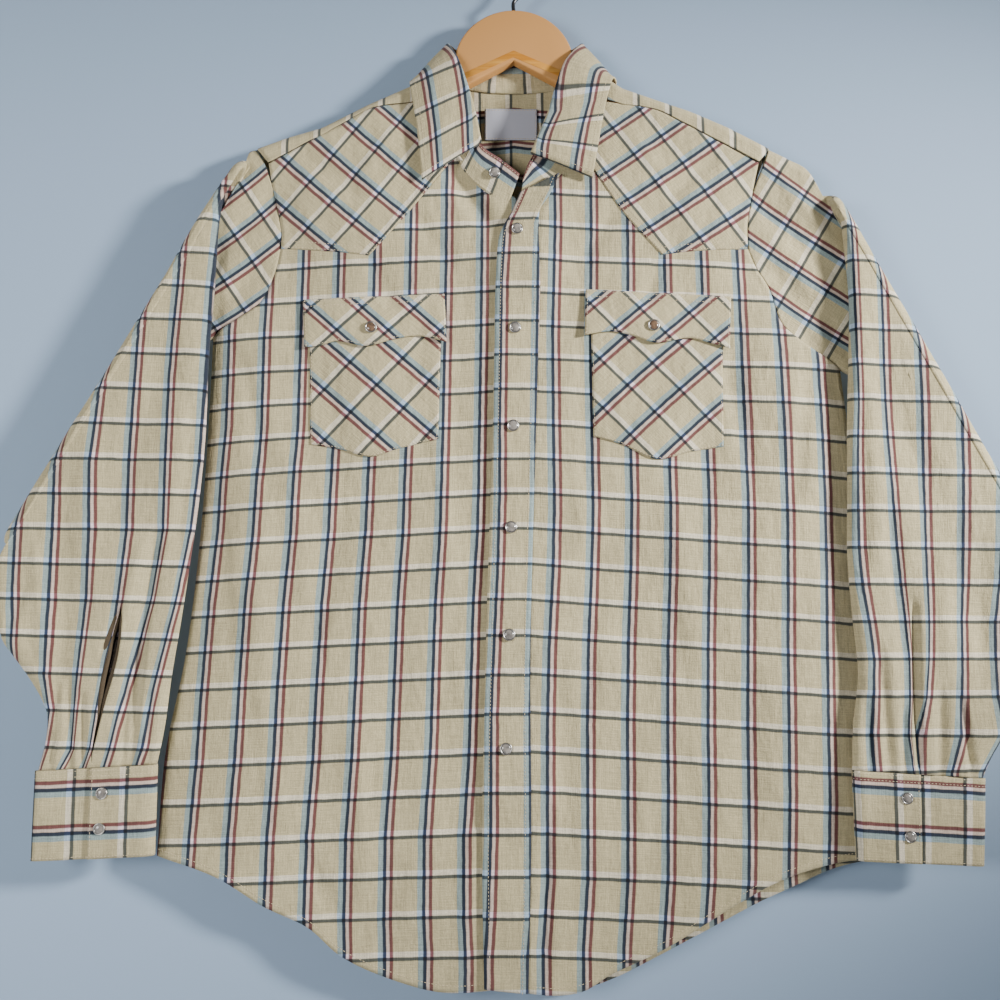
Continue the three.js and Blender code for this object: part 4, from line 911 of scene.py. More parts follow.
def sleeve_tube(name):
    """One sleeve: from the armhole to its diagonal fold, round the fold, and down in front."""
    side = SIDES[name]
    sign = side["sign"]
    tip, end, along, out = fold_frame(name)
    armhole = Route(curve_of(side["armhole_top"], sign), curve_of(side["armhole_low"], sign))
    under = side["armhole_low"][-1]
    start = np.array((sign * under["x"], 0, under["z"]))
    top_rows = np.concatenate([side["cap_top"], table("x z", (sign * tip[0], tip[2]))])
    top = Route(curve_of(top_rows, sign))
    bottom = underarm_route(start, end, out)
    fold_line = Route(np.array([tip, end]))
    slit = RIGHT_SLIT if name == "right" else LEFT_SLIT
    folds = RIGHT_SLEEVE_FOLDS if name == "right" else LEFT_SLEEVE_FOLDS
    creases = RIGHT_SLEEVE_CREASES if name == "right" else LEFT_SLEEVE_CREASES
    turned_start = np.append(tip + along * TIP_SLIDE, 0)
    rails = np.stack([side["lower"][key] for key in ("ax", "az", "bx", "bz", "y")], 1)
    first = [abs(turned_start[0]), turned_start[2], abs(end[0]), end[2], -2 * FOLD_RADIUS]
    rails = smooth_rails(np.vstack([first, rails]), LOWER_STEPS)
    splits = [slit_share(row, slit) for row in rails]
    sections = []
    lay = np.linspace(0, 1, 80)
    for i in range(CAP_STEPS + 1):
        v = max(i / CAP_STEPS, 0.0008)
        # the four routes are read with the way round the sleeve as t and the way along it as s
        read = functools.partial(cap_point, (top, bottom, armhole, fold_line), v)
        sections.append((read, np.array((0, 1.0, 0)), 0, splits[0]))
    for i in range(1, TURN_STEPS):
        angle = np.pi * (0.5 - i / TURN_STEPS)
        slide = TIP_SLIDE * i / TURN_STEPS
        normal = out * math.cos(angle) + np.array((0, math.sin(angle), 0))
        middle = np.array((0, -FOLD_RADIUS, 0))
        a = tip + along * slide + normal * FOLD_RADIUS + middle
        b = end + normal * FOLD_RADIUS + middle
        sections.append((Route(np.array([a, b])).at, normal, 0, splits[0]))
    for row, split in zip(rails, splits):
        a = np.array((sign * row[0], row[4], row[1]))
        b = np.array((sign * row[2], row[4], row[3]))
        sections.append((Route(np.array([a, b])).at, np.array((0, -1.0, 0)), 1, split))
    grid = []
    for at, normal, lower, split in sections:
        width = np.linalg.norm(np.diff(at(lay), axis=0), axis=1).sum()
        centre = at(np.array([split]))[0]
        opening = np.interp(centre[2], slit["z"][::-1], slit["open"][::-1]) if lower else 0
        places, height = sleeve_ring(width, split, opening)
        point = at(np.clip(places / width, 0, 1))
        x, z = np.abs(point[:, 0]), point[:, 2]
        if lower:
            moved = folds_at(folds, x, z) + folds_at(creases, x, z) + ripple(point[:, 0], z, 0.45)
            moved = np.where(height > 0, moved * height, 0.4 * moved * height)
        else:
            moved = (folds_at(CAP_CREASES, x, z) + ripple(point[:, 0], z, 0.45)) * height
        grid.append(point + normal * (SLEEVE_HALF * height + moved)[:, None])
    return np.array(grid)


def cap_point(edges, v, u):
    return patch(edges, np.full(np.shape(u), v), u)


def smooth_rails(rows, count):
    """The rows of a sleeve's two edges, smoothed and evenly spaced along its length."""
    inner, outer = smooth_curve(rows[:, [0, 1, 4]]), smooth_curve(rows[:, [2, 3, 4]])
    middle = (inner + outer) / 2
    run = np.concatenate([[0], np.cumsum(np.linalg.norm(np.diff(middle, axis=0), axis=1))])
    at = np.linspace(0, run[-1], count + 1)
    columns = [inner[:, 0], inner[:, 1], outer[:, 0], outer[:, 1], inner[:, 2]]
    return np.stack([np.interp(at, run, column) for column in columns], 1)


def slit_share(row, slit):
    """Where the slit's line crosses a section of the sleeve, as a share of its width."""
    share = 0.45
    for _ in range(4):
        z = row[1] + (row[3] - row[1]) * share
        share = (np.interp(z, slit["z"][::-1], slit["x"][::-1]) - row[0]) / (row[2] - row[0])
    return float(np.clip(share, 0.3, 0.7))


def cuff_ring(name, rows):
    """A cuff: one stiff band round the wrist, its front end lapped over the other."""
    side = SIDES[name]
    cuff = side["cuff"]
    corners = "top_in", "top_out", "low_in", "low_out"
    top_in, top_out, low_in, low_out = [np.array(cuff[key]) for key in corners]
    half, under = SLEEVE_HALF + 0.4, SLEEVE_HALF + 0.4 - 1.9
    width = top_out[0] - top_in[0]
    lap = (cuff["lap"] - top_in[0]) / width
    turn = CUFF_ROUND / width
    around = np.linspace(0, 1, 13)[1:]
    steps = np.linspace(0, 1, 25)[1:]
    grown = under + (half - under) * around
    plan = [
        np.stack([np.linspace(lap - CUFF_LAP / width, 1 - turn, 20), np.full(20, -under)], 1),
        np.stack([1 - turn + turn * np.sin(around * np.pi), -np.cos(around * np.pi) * grown], 1),
        np.stack([1 - turn - steps * (1 - 2 * turn), np.full(24, half)], 1),
        np.stack([turn - turn * np.sin(around * np.pi), np.cos(around * np.pi) * half], 1),
        np.stack([turn + steps * (lap - turn), np.full(24, -half)], 1),
    ]
    share, depth = np.concatenate(plan).T
    t = np.linspace(0, 1, rows + 1)[:, None]
    top = top_in + (top_out - top_in) * share[:, None]
    low = low_in + (low_out - low_in) * share[:, None]
    across = top[None] * (1 - t[..., None]) + low[None] * t[..., None]
    belly = (0.5 * np.sin(np.pi * t) + 0.25 * np.sin(across[..., 0] / 6 + 3 * t)) * np.sign(depth)
    return np.stack([side["sign"] * across[..., 0], cuff["y"] + depth + belly, across[..., 1]], -1)


def collar_curves(leaf):
    rows = COLLAR[COLLAR["leaf"] == 1] if leaf else COLLAR
    names = "ste" if leaf else "st"
    return [smooth_curve(np.stack([rows[name + axis] for axis in "xyz"], 1), 11) for name in names]


def stand_sheet(rows):
    """The stand of the collar, from its neck seam to its top edge."""
    seam, top = collar_curves(False)
    foot = -0.1 - 0.3 * np.clip(-seam[:, 1] / 9, 0, 1)
    v = np.linspace(foot, 1, rows + 1)[..., None]
    return seam[None] * (1 - v) + top[None] * v


def leaf_sheet(per):
    """The leaf leaves the stand's top edge, rolls over outward and falls to its free edge."""
    seam, top, edge = collar_curves(True)
    up = top - seam
    up /= np.linalg.norm(up, axis=1)[:, None]
    side = np.gradient(top, axis=0)
    out = np.cross(side, up)
    out /= np.linalg.norm(out, axis=1)[:, None]
    flat = edge * (1, 1, 0)
    out *= np.where((out * flat).sum(1) < 0, -1, 1)[:, None]
    rolled = [top + up * row["up"] + out * row["away"] for row in ROLL]
    for share in (0.2, 0.4, 0.6, 0.8, 1):
        bow = 1.1 * math.sin(math.pi * share)
        rolled.append(rolled[4] + (edge - rolled[4]) * share + out * bow)
    columns = np.array(rolled)
    return np.stack([smooth_curve(columns[:, j], per) for j in range(columns.shape[1])], 1)


# Charts: the numbers of the check's stripes over each piece, as (u, v)
def between(lines, numbers, value):
    """The number at each value, straight between numbered lines and on beyond them."""
    shape = value.shape
    value = value.ravel()
    lines = np.array([np.broadcast_to(line, shape).ravel() for line in lines])
    numbers = np.asarray(numbers, float)
    if lines[0].mean() > lines[-1].mean():
        lines, numbers = lines[::-1], numbers[::-1]
    step = (lines[1:-1] <= value).sum(0)
    pick = np.arange(len(value))
    low, high = lines[step, pick], lines[step + 1, pick]
    number = numbers[step] + (numbers[step + 1] - numbers[step]) * (value - low) / (high - low)
    return number.reshape(shape)


def warp_numbers(rows, numbers, x, z):
    """Numbers of the stripes that run up a piece, from rows that say where each crosses a height."""
    order = np.argsort(rows["z"])
    lines = [np.interp(z, rows["z"][order], rows[name][order]) for name in rows.dtype.names[1:]]
    return between(lines, numbers, x)


def weft_numbers(rows, places, x, z):
    """Numbers of the stripes that run across a piece, from their heights at two places."""
    names = rows.dtype.names[1:]
    share = (x - places[0]) / (places[1] - places[0])
    lines = [row[names[0]] + (row[names[1]] - row[names[0]]) * share for row in rows]
    return between(lines, rows["number"], z)


def front_chart(name, x, z):
    if name == "right":
        u = warp_numbers(RIGHT_FRONT_WARP, (0, FRONT_LINES), x, z)
        return np.stack([u, weft_numbers(RIGHT_FRONT_WEFT, (-273.2, -34.4), x, z)], -1)
    u = warp_numbers(LEFT_FRONT_WARP, (0, FRONT_LINES), x, z)
    return np.stack([u, weft_numbers(LEFT_FRONT_WEFT, (34.2, 286.6), x, z)], -1)


def hanging_chart(name, x, z):
    if name == "right":
        u = warp_numbers(RIGHT_SLEEVE_WARP, RIGHT_SLEEVE_NUMBERS, x, z)
        return np.stack([u, weft_numbers(RIGHT_SLEEVE_WEFT, (-424.9, -296.3), x, z)], -1)
    u = warp_numbers(LEFT_SLEEVE_WARP, LEFT_SLEEVE_NUMBERS, x, z)
    return np.stack([u, weft_numbers(LEFT_SLEEVE_WEFT, (315.8, 408), x, z)], -1)


def band_chart(x, z):
    v = np.interp(-z, -BAND_WEFT["z"], BAND_WEFT["number"])
    return np.stack([warp_numbers(BAND_WARP, (0, 1), x, z), v], -1)


def bias_chart(name, x, z):
    """Stripes of a piece cut on the bias, fitted to points on them."""
    numbers = []
    for rows in BIAS[name]:
        middle = rows["x"].mean(), rows["z"].mean()
        many = len(rows) > 7

        def terms(a, b):
            a, b = (a - middle[0]) / 100, (b - middle[1]) / 100
            return np.stack([np.ones_like(a), a, b] + ([a * b] if many else []), -1)

        fit = np.linalg.lstsq(terms(rows["x"], rows["z"]), rows["number"], rcond=None)[0]
        numbers.append(terms(x, z) @ fit)
    return np.stack(numbers, -1)


def straight_chart(x, z, first=0.0, top=0.0, sway=2.2):
    """Stripes of a piece cut on the straight grain, with the slight sway of hung cloth."""
    bend = sway * np.sin(z / 170 + 0.6) + 0.6 * sway * np.sin(x / 60 + z / 90)
    sag = sway * np.sin(x / 120 + 0.4)
    return np.stack([(x - first + bend) / WARP_REPEAT, (top - z + sag) / WEFT_REPEAT], -1)


def yoke_chart(grid):
    """The back yoke, numbered by the length of cloth below the shoulder line."""
    x = grid[..., 0]
    step = np.linalg.norm(np.diff(grid, axis=0), axis=-1)
    run = np.concatenate([np.zeros((1, step.shape[1])), np.cumsum(step, axis=0)])
    over = np.argmax(grid[..., 1] > 0, axis=0)
    run = run - run[over, np.arange(len(over))]
    middle = np.minimum(1, np.abs(x) / 81)
    level = run + (1 - middle) * 14
    return np.stack([(38 - level) / WARP_REPEAT, (x - 28.6) / 31.5], -1)


def sleeve_charts(name, grid):
    """Two charts of a sleeve, for its two faces, and which face of cloth takes the first."""
    tip, _, _, out = fold_frame(name)
    x, z = grid[..., 0].copy(), grid[..., 2].copy()
    turn = math.pi * (FOLD_RADIUS + SLEEVE_HALF)
    cap = np.arange(len(grid)) <= CAP_STEPS
    turning = (np.arange(len(grid)) > CAP_STEPS) & (np.arange(len(grid)) < CAP_STEPS + TURN_STEPS)
    outer_x, outer_z = x.copy(), z.copy()
    behind = (tip[0] - x) * out[0] + (tip[2] - z) * out[2]
    for i in np.where(cap)[0]:
        outer_x[i] += out[0] * (2 * behind[i] + turn)
        outer_z[i] += out[2] * (2 * behind[i] + turn)
    for step, i in enumerate(np.where(turning)[0]):
        left = turn * (1 - (step + 1) / TURN_STEPS)
        outer_x[i] += out[0] * (behind[i] + left)
        outer_z[i] += out[2] * (behind[i] + left)
    first = hanging_chart(name, outer_x, outer_z)
    second = first.copy()
    upper = cap | turning
    second[upper] = bias_chart("cap_" + name, x[upper], z[upper])
    ring = sleeve_ring(100, 0.5, 0)[1]
    middle = (ring + np.roll(ring, -1)) / 2
    faces = np.broadcast_to(middle[:-1] >= 0, (len(grid) - 1, RING_COUNT))
    return first, second, faces


def run_along(grid):
    """Length of cloth along the middle row of a grid, to each of its columns."""
    row = grid[len(grid) // 2]
    return np.concatenate([[0], np.cumsum(np.linalg.norm(np.diff(row, axis=0), axis=1))])


def cuff_chart(name, grid):
    run = run_along(grid)
    mark = -357.8 if name == "right" else 337
    row = grid[len(grid) // 2]
    front = np.where(row[:, 1] < SIDES[name]["cuff"]["y"])[0]
    at = run[front[np.argmin(np.abs(row[front, 0] - mark))]]
    v = np.broadcast_to((at - run) / 37, grid.shape[:2])
    level = -819 if name == "right" else -819.5
    tilt = 0.045 if name == "right" else -0.06
    height = grid[..., 2] - level - tilt * (grid[..., 0] - mark)
    return np.stack([height / 38, v], -1)


def stand_chart(grid):
    run = run_along(grid)
    down = np.linspace(0, 27, len(grid))[:, None]
    return np.stack([(down - 20) / WARP_REPEAT + 0 * run, -(run - 20) / WEFT_REPEAT + 0 * down], -1)


def leaf_chart(grid):
    """The leaf's stripes follow its free edge all round the neck."""
    edge = grid[-1]
    run = np.concatenate([[0], np.cumsum(np.linalg.norm(np.diff(edge, axis=0), axis=1))])
    count = round((run[-1] - 66) / WEFT_REPEAT)
    v = -(run - 33) / (run[-1] - 66) * count
    step = np.linalg.norm(np.diff(grid, axis=0), axis=-1)
    down = np.concatenate([np.zeros((1, step.shape[1])), np.cumsum(step, axis=0)])
    u = (19 - (down[-1] - down)) / WARP_REPEAT
    return np.stack([u, np.broadcast_to(v, u.shape)], -1)


# Making the meshes
FORMS = {}


def new_object(name, mesh):
    obj = bpy.data.objects.new(name, mesh)
    bpy.context.scene.collection.objects.link(obj)
    return obj


def grid_mesh(name, grid, chart, choice=None):
    """A sheet through a grid of points in millimetres, with the numbers of the check's stripes."""
    rows, columns = grid.shape[:2]
    bm = bmesh.new()
    bmesh.ops.create_grid(bm, x_segments=columns - 1, y_segments=rows - 1, size=0.5)
    mesh = bpy.data.meshes.new(name)
    bm.to_mesh(mesh)
    bm.free()
    place = np.empty(len(mesh.vertices) * 3)
    mesh.vertices.foreach_get("co", place)
    place = place.reshape(-1, 3)
    j = np.rint((place[:, 0] + 0.5) * (columns - 1)).astype(int)
    i = np.rint((0.5 - place[:, 1]) * (rows - 1)).astype(int)
    mesh.vertices.foreach_set("co", (grid[i, j] * MM).ravel())
    corner = np.empty(len(mesh.loops), dtype=np.int32)
    mesh.loops.foreach_get("vertex_index", corner)
    i, j = i[corner], j[corner]
    numbers = chart[i, j]
    if choice is not None:
        other, faces = choice
        low_i = i.reshape(-1, 4).min(1).repeat(4)
        low_j = j.reshape(-1, 4).min(1).repeat(4)
        numbers = np.where(faces[low_i, low_j][:, None], numbers, other[i, j])
    mesh.uv_layers.new(name="check").data.foreach_set("uv", numbers.ravel())
    return mesh


def face_out(mesh, way):
    """Turns a sheet's faces so that at one of them, way points out of the cloth."""
    index, direction = way
    normal = mesh.polygons[index].normal
    if normal.dot(Vector(direction)) < 0:
        mesh.flip_normals()


def signed_volume(mesh):
    place = np.empty(len(mesh.vertices) * 3)
    mesh.vertices.foreach_get("co", place)
    place = place.reshape(-1, 3)
    corner = np.empty(len(mesh.loops), dtype=np.int32)
    mesh.loops.foreach_get("vertex_index", corner)
    a, b, c, d = place[corner.reshape(-1, 4)].transpose(1, 0, 2)
    first = np.einsum("ij,ij->i", a, np.cross(b, c)).sum()
    return first + np.einsum("ij,ij->i", a, np.cross(c, d)).sum()


def smooth_faces(mesh):
    mesh.polygons.foreach_set("use_smooth", [True] * len(mesh.polygons))
    mesh.update()


def sheet_of_cloth(
    name, grid, chart, replaced, away=None, wall=0.5, choice=None, look="check", slot="cloth"
):
    """One finished piece of cloth that stands for its solid."""
    closed = away is None
    mesh = grid_mesh(name, grid, chart, choice)
    if closed:
        weld_tube(mesh, grid)
        if signed_volume(mesh) < 0:
            mesh.flip_normals()
    else:
        row, column = int(len(grid) * 0.6), grid.shape[1] // 3
        index = closest_face(mesh, grid[row, column])
        face_out(mesh, (index, away))
    smooth_faces(mesh)
    mesh.materials.append(bpy.data.materials[look])
    obj = new_object(name, mesh)
    solid = obj.modifiers.new("thickness", "SOLIDIFY")
    solid.thickness = wall * MM
    solid.offset = -1
    finish_piece(obj, slot, *replaced)
    FORMS[name] = grid
    return obj


def closest_face(mesh, place):
    centre = np.empty(len(mesh.polygons) * 3)
    mesh.polygons.foreach_get("center", centre)
    return int(np.argmin(np.linalg.norm(centre.reshape(-1, 3) - np.asarray(place) * MM, axis=1)))


def weld_tube(mesh, grid):
    """Joins the first and last columns of a tube where they meet."""
    bm = bmesh.new()
    bm.from_mesh(mesh)
    apart = np.linalg.norm(grid[:, 0] - grid[:, -1], axis=1)
    ends = {tuple(np.rint(point * 1000).astype(int)) for point in grid[apart < 0.01, 0]}
    seam = [v for v in bm.verts if v.is_boundary and tuple(int(round(c * 1e6)) for c in v.co) in ends]
    bmesh.ops.remove_doubles(bm, verts=seam, dist=2e-5)
    bm.to_mesh(mesh)
    bm.free()


def finish_piece(obj, slot, *replaced):
    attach(obj, "root")
    if replaced:
        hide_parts(*replaced)
    return obj


# Materials
def ramp_tints(tree, value, stops):
    """A ramp of tints over one repeat of the check, soft at each edge of a stripe."""
    node = tree.nodes.new("ShaderNodeValToRGB")
    ramp = node.color_ramp
    ramp.interpolation = "LINEAR"
    soft = 0.012
    marks = []
    for k, (start, tint) in enumerate(stops):
        end = stops[k + 1][0] if k + 1 < len(stops) else 1
        marks += [(start + (soft if k else 0), tint), (end - (soft if k + 1 < len(stops) else 0), tint)]
    while len(ramp.elements) < len(marks):
        ramp.elements.new(0.5)
    for element, (place, tint) in zip(ramp.elements, marks):
        element.position = place
        element.color = (*[c / 3 for c in tint], 1)
    tree.links.new(value, node.inputs["Fac"])
    return node.outputs["Color"]


def maths(tree, operation, a, b=None):
    node = tree.nodes.new("ShaderNodeMath")
    node.operation = operation
    for socket, value in zip(node.inputs, (a, b)):
        if isinstance(value, (int, float)):
            socket.default_value = value
        elif value is not None:
            tree.links.new(value, socket)
    return node.outputs[0]


def times(tree, a, b):
    node = tree.nodes.new("ShaderNodeMix")
    node.data_type = "RGBA"
    node.blend_type = "MULTIPLY"
    node.inputs[0].default_value = 1
    for socket, value in ((node.inputs[6], a), (node.inputs[7], b)):
        if isinstance(value, tuple):
            socket.default_value = value
        else:
            tree.links.new(value, socket)
    return node.outputs[2]


def noise(tree, vector, scale, detail=2.0, rough=0.5):
    node = tree.nodes.new("ShaderNodeTexNoise")
    node.inputs["Scale"].default_value = scale
    node.inputs["Detail"].default_value = detail
    node.inputs["Roughness"].default_value = rough
    tree.links.new(vector, node.inputs["Vector"])
    return node.outputs["Fac"]


def stretched(tree, vector, scale, turn=0.0):
    node = tree.nodes.new("ShaderNodeMapping")
    node.inputs["Scale"].default_value = scale
    node.inputs["Rotation"].default_value = (0, 0, turn)
    tree.links.new(vector, node.inputs["Vector"])
    return node.outputs["Vector"]


def remap(tree, value, low, high, start=0.0, end=1.0):
    node = tree.nodes.new("ShaderNodeMapRange")
    for name, number in (("From Min", start), ("From Max", end), ("To Min", low), ("To Max", high)):
        node.inputs[name].default_value = number
    tree.links.new(value, node.inputs["Value"])
    return node.outputs["Result"]


def bump(tree, height, strength, depth, under=None):
    node = tree.nodes.new("ShaderNodeBump")
    node.inputs["Strength"].default_value = strength
    node.inputs["Distance"].default_value = depth
    tree.links.new(height, node.inputs["Height"])
    if under is not None:
        tree.links.new(under, node.inputs["Normal"])
    return node.outputs["Normal"]


def new_material(name, roughness, metal=0.0):
    material = bpy.data.materials.new(name)
    material.use_nodes = True
    tree = material.node_tree
    surface = tree.nodes["Principled BSDF"]
    surface.inputs["Roughness"].default_value = roughness
    surface.inputs["Metallic"].default_value = metal
    return material, tree, surface


def check_material(colours):
    """Open checked cloth: warp stripes along u and weft stripes along v, with slubs and a fine weave."""
    material, tree, surface = new_material("check", 0.92)
    uv = tree.nodes.new("ShaderNodeUVMap")
    uv.uv_map = "check"
    axes = tree.nodes.new("ShaderNodeSeparateXYZ")
    tree.links.new(uv.outputs["UV"], axes.inputs[0])
    place = tree.nodes.new("ShaderNodeTexCoord").outputs["Object"]
    waver = remap(tree, noise(tree, place, 95, 2), -0.014, 0.014)
    along = maths(tree, "ADD", axes.outputs[0], waver)
    down = maths(tree, "ADD", axes.outputs[1], waver)
    u = maths(tree, "FRACT", maths(tree, "ADD", along, 0.17))
    v = maths(tree, "FRACT", maths(tree, "ADD", down, 0.18))
    plain = (1, 1, 1)
    warp = ramp_tints(
        tree, u,
        [
            (0, tuple(colours.light_blue)), (0.125, tuple(colours.navy)), (0.215, tuple(colours.pink_white)),
            (0.29, tuple(colours.red)), (0.38, plain),
        ],
    )
    weft = ramp_tints(tree, v, [(0, tuple(colours.white)), (0.135, tuple(colours.black)), (0.225, plain)])
    tinted = times(tree, times(tree, warp, weft), tuple(9 * c for c in colours.ground) + (1,))
    slub_u = noise(tree, stretched(tree, uv.outputs["UV"], (34, 1.6, 1)), 1.0, 2, 0.6)
    slub_v = noise(tree, stretched(tree, uv.outputs["UV"], (1.6, 34, 1)), 1.0, 2, 0.6)
    slubs = maths(tree, "ADD", slub_u, slub_v)
    shade = remap(tree, slubs, 0.76, 1.24, 0.6, 1.4)
    cloud = remap(tree, noise(tree, place, 14, 3), 0.93, 1.07, 0.3, 0.7)
    speckle = remap(tree, noise(tree, place, 900, 1), 0.9, 1.1, 0.3, 0.7)
    value = maths(tree, "MULTIPLY", maths(tree, "MULTIPLY", shade, cloud), speckle)
    grey = tree.nodes.new("ShaderNodeCombineColor")
    for socket in grey.inputs:
        tree.links.new(value, socket)
    tree.links.new(times(tree, tinted, grey.outputs[0]), surface.inputs["Base Color"])
    crinkle = bump(tree, noise(tree, stretched(tree, place, (1, 1, 0.45)), 42, 3, 0.55), 0.5, 0.007)
    normal = bump(tree, slubs, 0.35, 0.0012, bump(tree, noise(tree, place, 700, 1), 0.35, 0.0006, crinkle))
    tree.links.new(normal, surface.inputs["Normal"])
    surface.inputs["Sheen Weight"].default_value = 0.12
    surface.inputs["Sheen Roughness"].default_value = 0.6
    surface.inputs["Specular IOR Level"].default_value = 0.2
    return material


def plain_cloth(name, colour, roughness=0.85, scale=900, depth=0.0003):
    """Plain cloth or thread with a fine uneven weave."""
    material, tree, surface = new_material(name, roughness)
    place = tree.nodes.new("ShaderNodeTexCoord").outputs["Object"]
    weave = noise(tree, place, scale, 2)
    grey = tree.nodes.new("ShaderNodeCombineColor")
    value = remap(tree, weave, 0.86, 1.14, 0.25, 0.75)
    for socket in grey.inputs:
        tree.links.new(value, socket)
    tree.links.new(times(tree, tuple(colour) + (1,), grey.outputs[0]), surface.inputs["Base Color"])
    tree.links.new(bump(tree, weave, 0.5, depth), surface.inputs["Normal"])
    surface.inputs["Specular IOR Level"].default_value = 0.2
    return material


def pearl_material(name, colour, second):
    """Mother-of-pearl: cloudy bands between two colours under a clear coat."""
    material, tree, surface = new_material(name, 0.22)
    place = tree.nodes.new("ShaderNodeTexCoord").outputs["Object"]
    clouds = remap(tree, noise(tree, place, 170, 4, 0.6), 0, 1, 0.35, 0.65)
    node = tree.nodes.new("ShaderNodeMix")
    node.data_type = "RGBA"
    tree.links.new(clouds, node.inputs[0])
    node.inputs[6].default_value = tuple(colour) + (1,)
    node.inputs[7].default_value = tuple(second) + (1,)
    tree.links.new(node.outputs[2], surface.inputs["Base Color"])
    surface.inputs["Coat Weight"].default_value = 0.5
    surface.inputs["Coat Roughness"].default_value = 0.08
    return material


def metal_material(name, colour, roughness):
    material, tree, surface = new_material(name, roughness, 1.0)
    place = tree.nodes.new("ShaderNodeTexCoord").outputs["Object"]
    worn = noise(tree, place, 300, 3)
    tree.links.new(remap(tree, worn, roughness - 0.08, roughness + 0.12), surface.inputs["Roughness"])
    surface.inputs["Base Color"].default_value = tuple(colour) + (1,)
    return material


def wood_material(name, colour, second):
    """Varnished wood with grain along X."""
    material, tree, surface = new_material(name, 0.3)
    place = tree.nodes.new("ShaderNodeTexCoord").outputs["Object"]
    grain = noise(tree, stretched(tree, place, (9, 60, 160)), 1.0, 5, 0.6)
    fine = noise(tree, stretched(tree, place, (60, 500, 1400)), 1.0, 2, 0.5)
    share = remap(tree, maths(tree, "ADD", grain, maths(tree, "MULTIPLY", fine, 0.25)), 0, 1, 0.48, 0.76)
    node = tree.nodes.new("ShaderNodeMix")
    node.data_type = "RGBA"
    tree.links.new(share, node.inputs[0])
    node.inputs[6].default_value = tuple(colour) + (1,)
    node.inputs[7].default_value = tuple(second) + (1,)
    tree.links.new(node.outputs[2], surface.inputs["Base Color"])
    tree.links.new(bump(tree, fine, 0.25, 0.0004), surface.inputs["Normal"])
    surface.inputs["Coat Weight"].default_value = 0.18
    surface.inputs["Coat Roughness"].default_value = 0.3
    return material


# Stitches
def inset_line(grid, edge, inset):
    """Points on a grid at an inset from one of its edges, and the way out of the cloth there."""
    rows = {"top": grid, "bottom": grid[::-1]}.get(edge)
    if rows is None:
        rows = (grid if edge == "left" else grid[:, ::-1]).transpose(1, 0, 2)
    step = np.linalg.norm(np.diff(rows, axis=0), axis=-1)
    run = np.concatenate([np.zeros((1, step.shape[1])), np.cumsum(step, axis=0)])
    line = np.empty((rows.shape[1], 3))
    for k in range(rows.shape[1]):
        line[k] = [np.interp(inset, run[:, k], rows[:, k, axis]) for axis in range(3)]
    return line


def stitch_places(line, pitch, start=0.0, end=0.0):
    """Middles and directions of stitches spaced along a line of points."""
    run = np.concatenate([[0], np.cumsum(np.linalg.norm(np.diff(line, axis=0), axis=1))])
    at = np.arange(start + pitch / 2, run[-1] - end, pitch)
    middle = np.stack([np.interp(at, run, line[:, k]) for k in range(3)], 1)
    ahead = np.stack([np.interp(at + 0.6, run, line[:, k]) for k in range(3)], 1)
    back = np.stack([np.interp(at - 0.6, run, line[:, k]) for k in range(3)], 1)
    way = ahead - back
    return middle, way / np.maximum(np.linalg.norm(way, axis=1), 1e-6)[:, None]


def sew(name, lines, sizes, look="thread"):
    """One object of joined stitches. Each line gives its points, the way out and how far it is lifted."""
    bm = bmesh.new()
    bmesh.ops.create_icosphere(bm, subdivisions=1, radius=0.5)
    base = bpy.data.meshes.new(name + "_bead")
    bm.to_mesh(base)
    bm.free()
    bead = np.array([v.co[:] for v in base.vertices])
    faces = np.array([p.vertices[:] for p in base.polygons])
    scale = np.array((sizes.stitch_length, sizes.stitch_width, sizes.stitch_height)) * 1000
    points, triangles = [], []
    count = 0
    for line, outward, lift in lines:
        middle, way = stitch_places(line, sizes.stitch_pitch * 1000)
        outward = np.broadcast_to(np.asarray(outward, float), middle.shape)
        across = np.cross(outward, way)
        across /= np.maximum(np.linalg.norm(across, axis=1), 1e-6)[:, None]
        up = np.cross(way, across)
        turned = np.stack([way, across, up], 1)
        placed_beads = np.einsum("vk,nkc->nvc", bead * scale, turned) + (middle + up * lift)[:, None]
        points.append(placed_beads.reshape(-1, 3))
        shift = count + np.arange(len(middle)) * len(bead)
        triangles.append((faces[None] + shift[:, None, None]).reshape(-1, 3))
        count += len(middle) * len(bead)
    mesh = bpy.data.meshes.new(name)
    mesh.from_pydata(np.concatenate(points) * MM, [], np.concatenate(triangles))
    bpy.data.meshes.remove(base)
    smooth_faces(mesh)
    mesh.materials.append(bpy.data.materials[look])
    return finish_piece(new_object(name, mesh), "cloth")


# The add-on
def colour_property(name, description, default):
    return FloatVectorProperty(
        name=name, description=description, default=default, size=3, min=0, max=4, subtype="COLOR"
    )


def length_property(name, description, default):
    return FloatProperty(name=name, description=description, default=default, min=0, unit="LENGTH")


class ShirtSizes(bpy.types.PropertyGroup):
    """Sizes of the finish, in metres."""

    cloth: length_property("Cloth", "Wall of one layer of the open cloth", 0.0006)
    double: length_property("Double cloth", "Wall of the stiffened double layers", 0.0015)
    stitch_pitch: length_property("Stitch pitch", "From one stitch to the next", 0.0032)
    stitch_length: length_property("Stitch length", "Length of one stitch", 0.0024)
    stitch_width: length_property("Stitch width", "Width of the thread", 0.0006)
    stitch_height: length_property("Stitch height", "Height of the thread on the cloth", 0.0005)
    snap_steps: IntProperty(name="Snap steps", description="Steps round a snap", default=48, min=12)


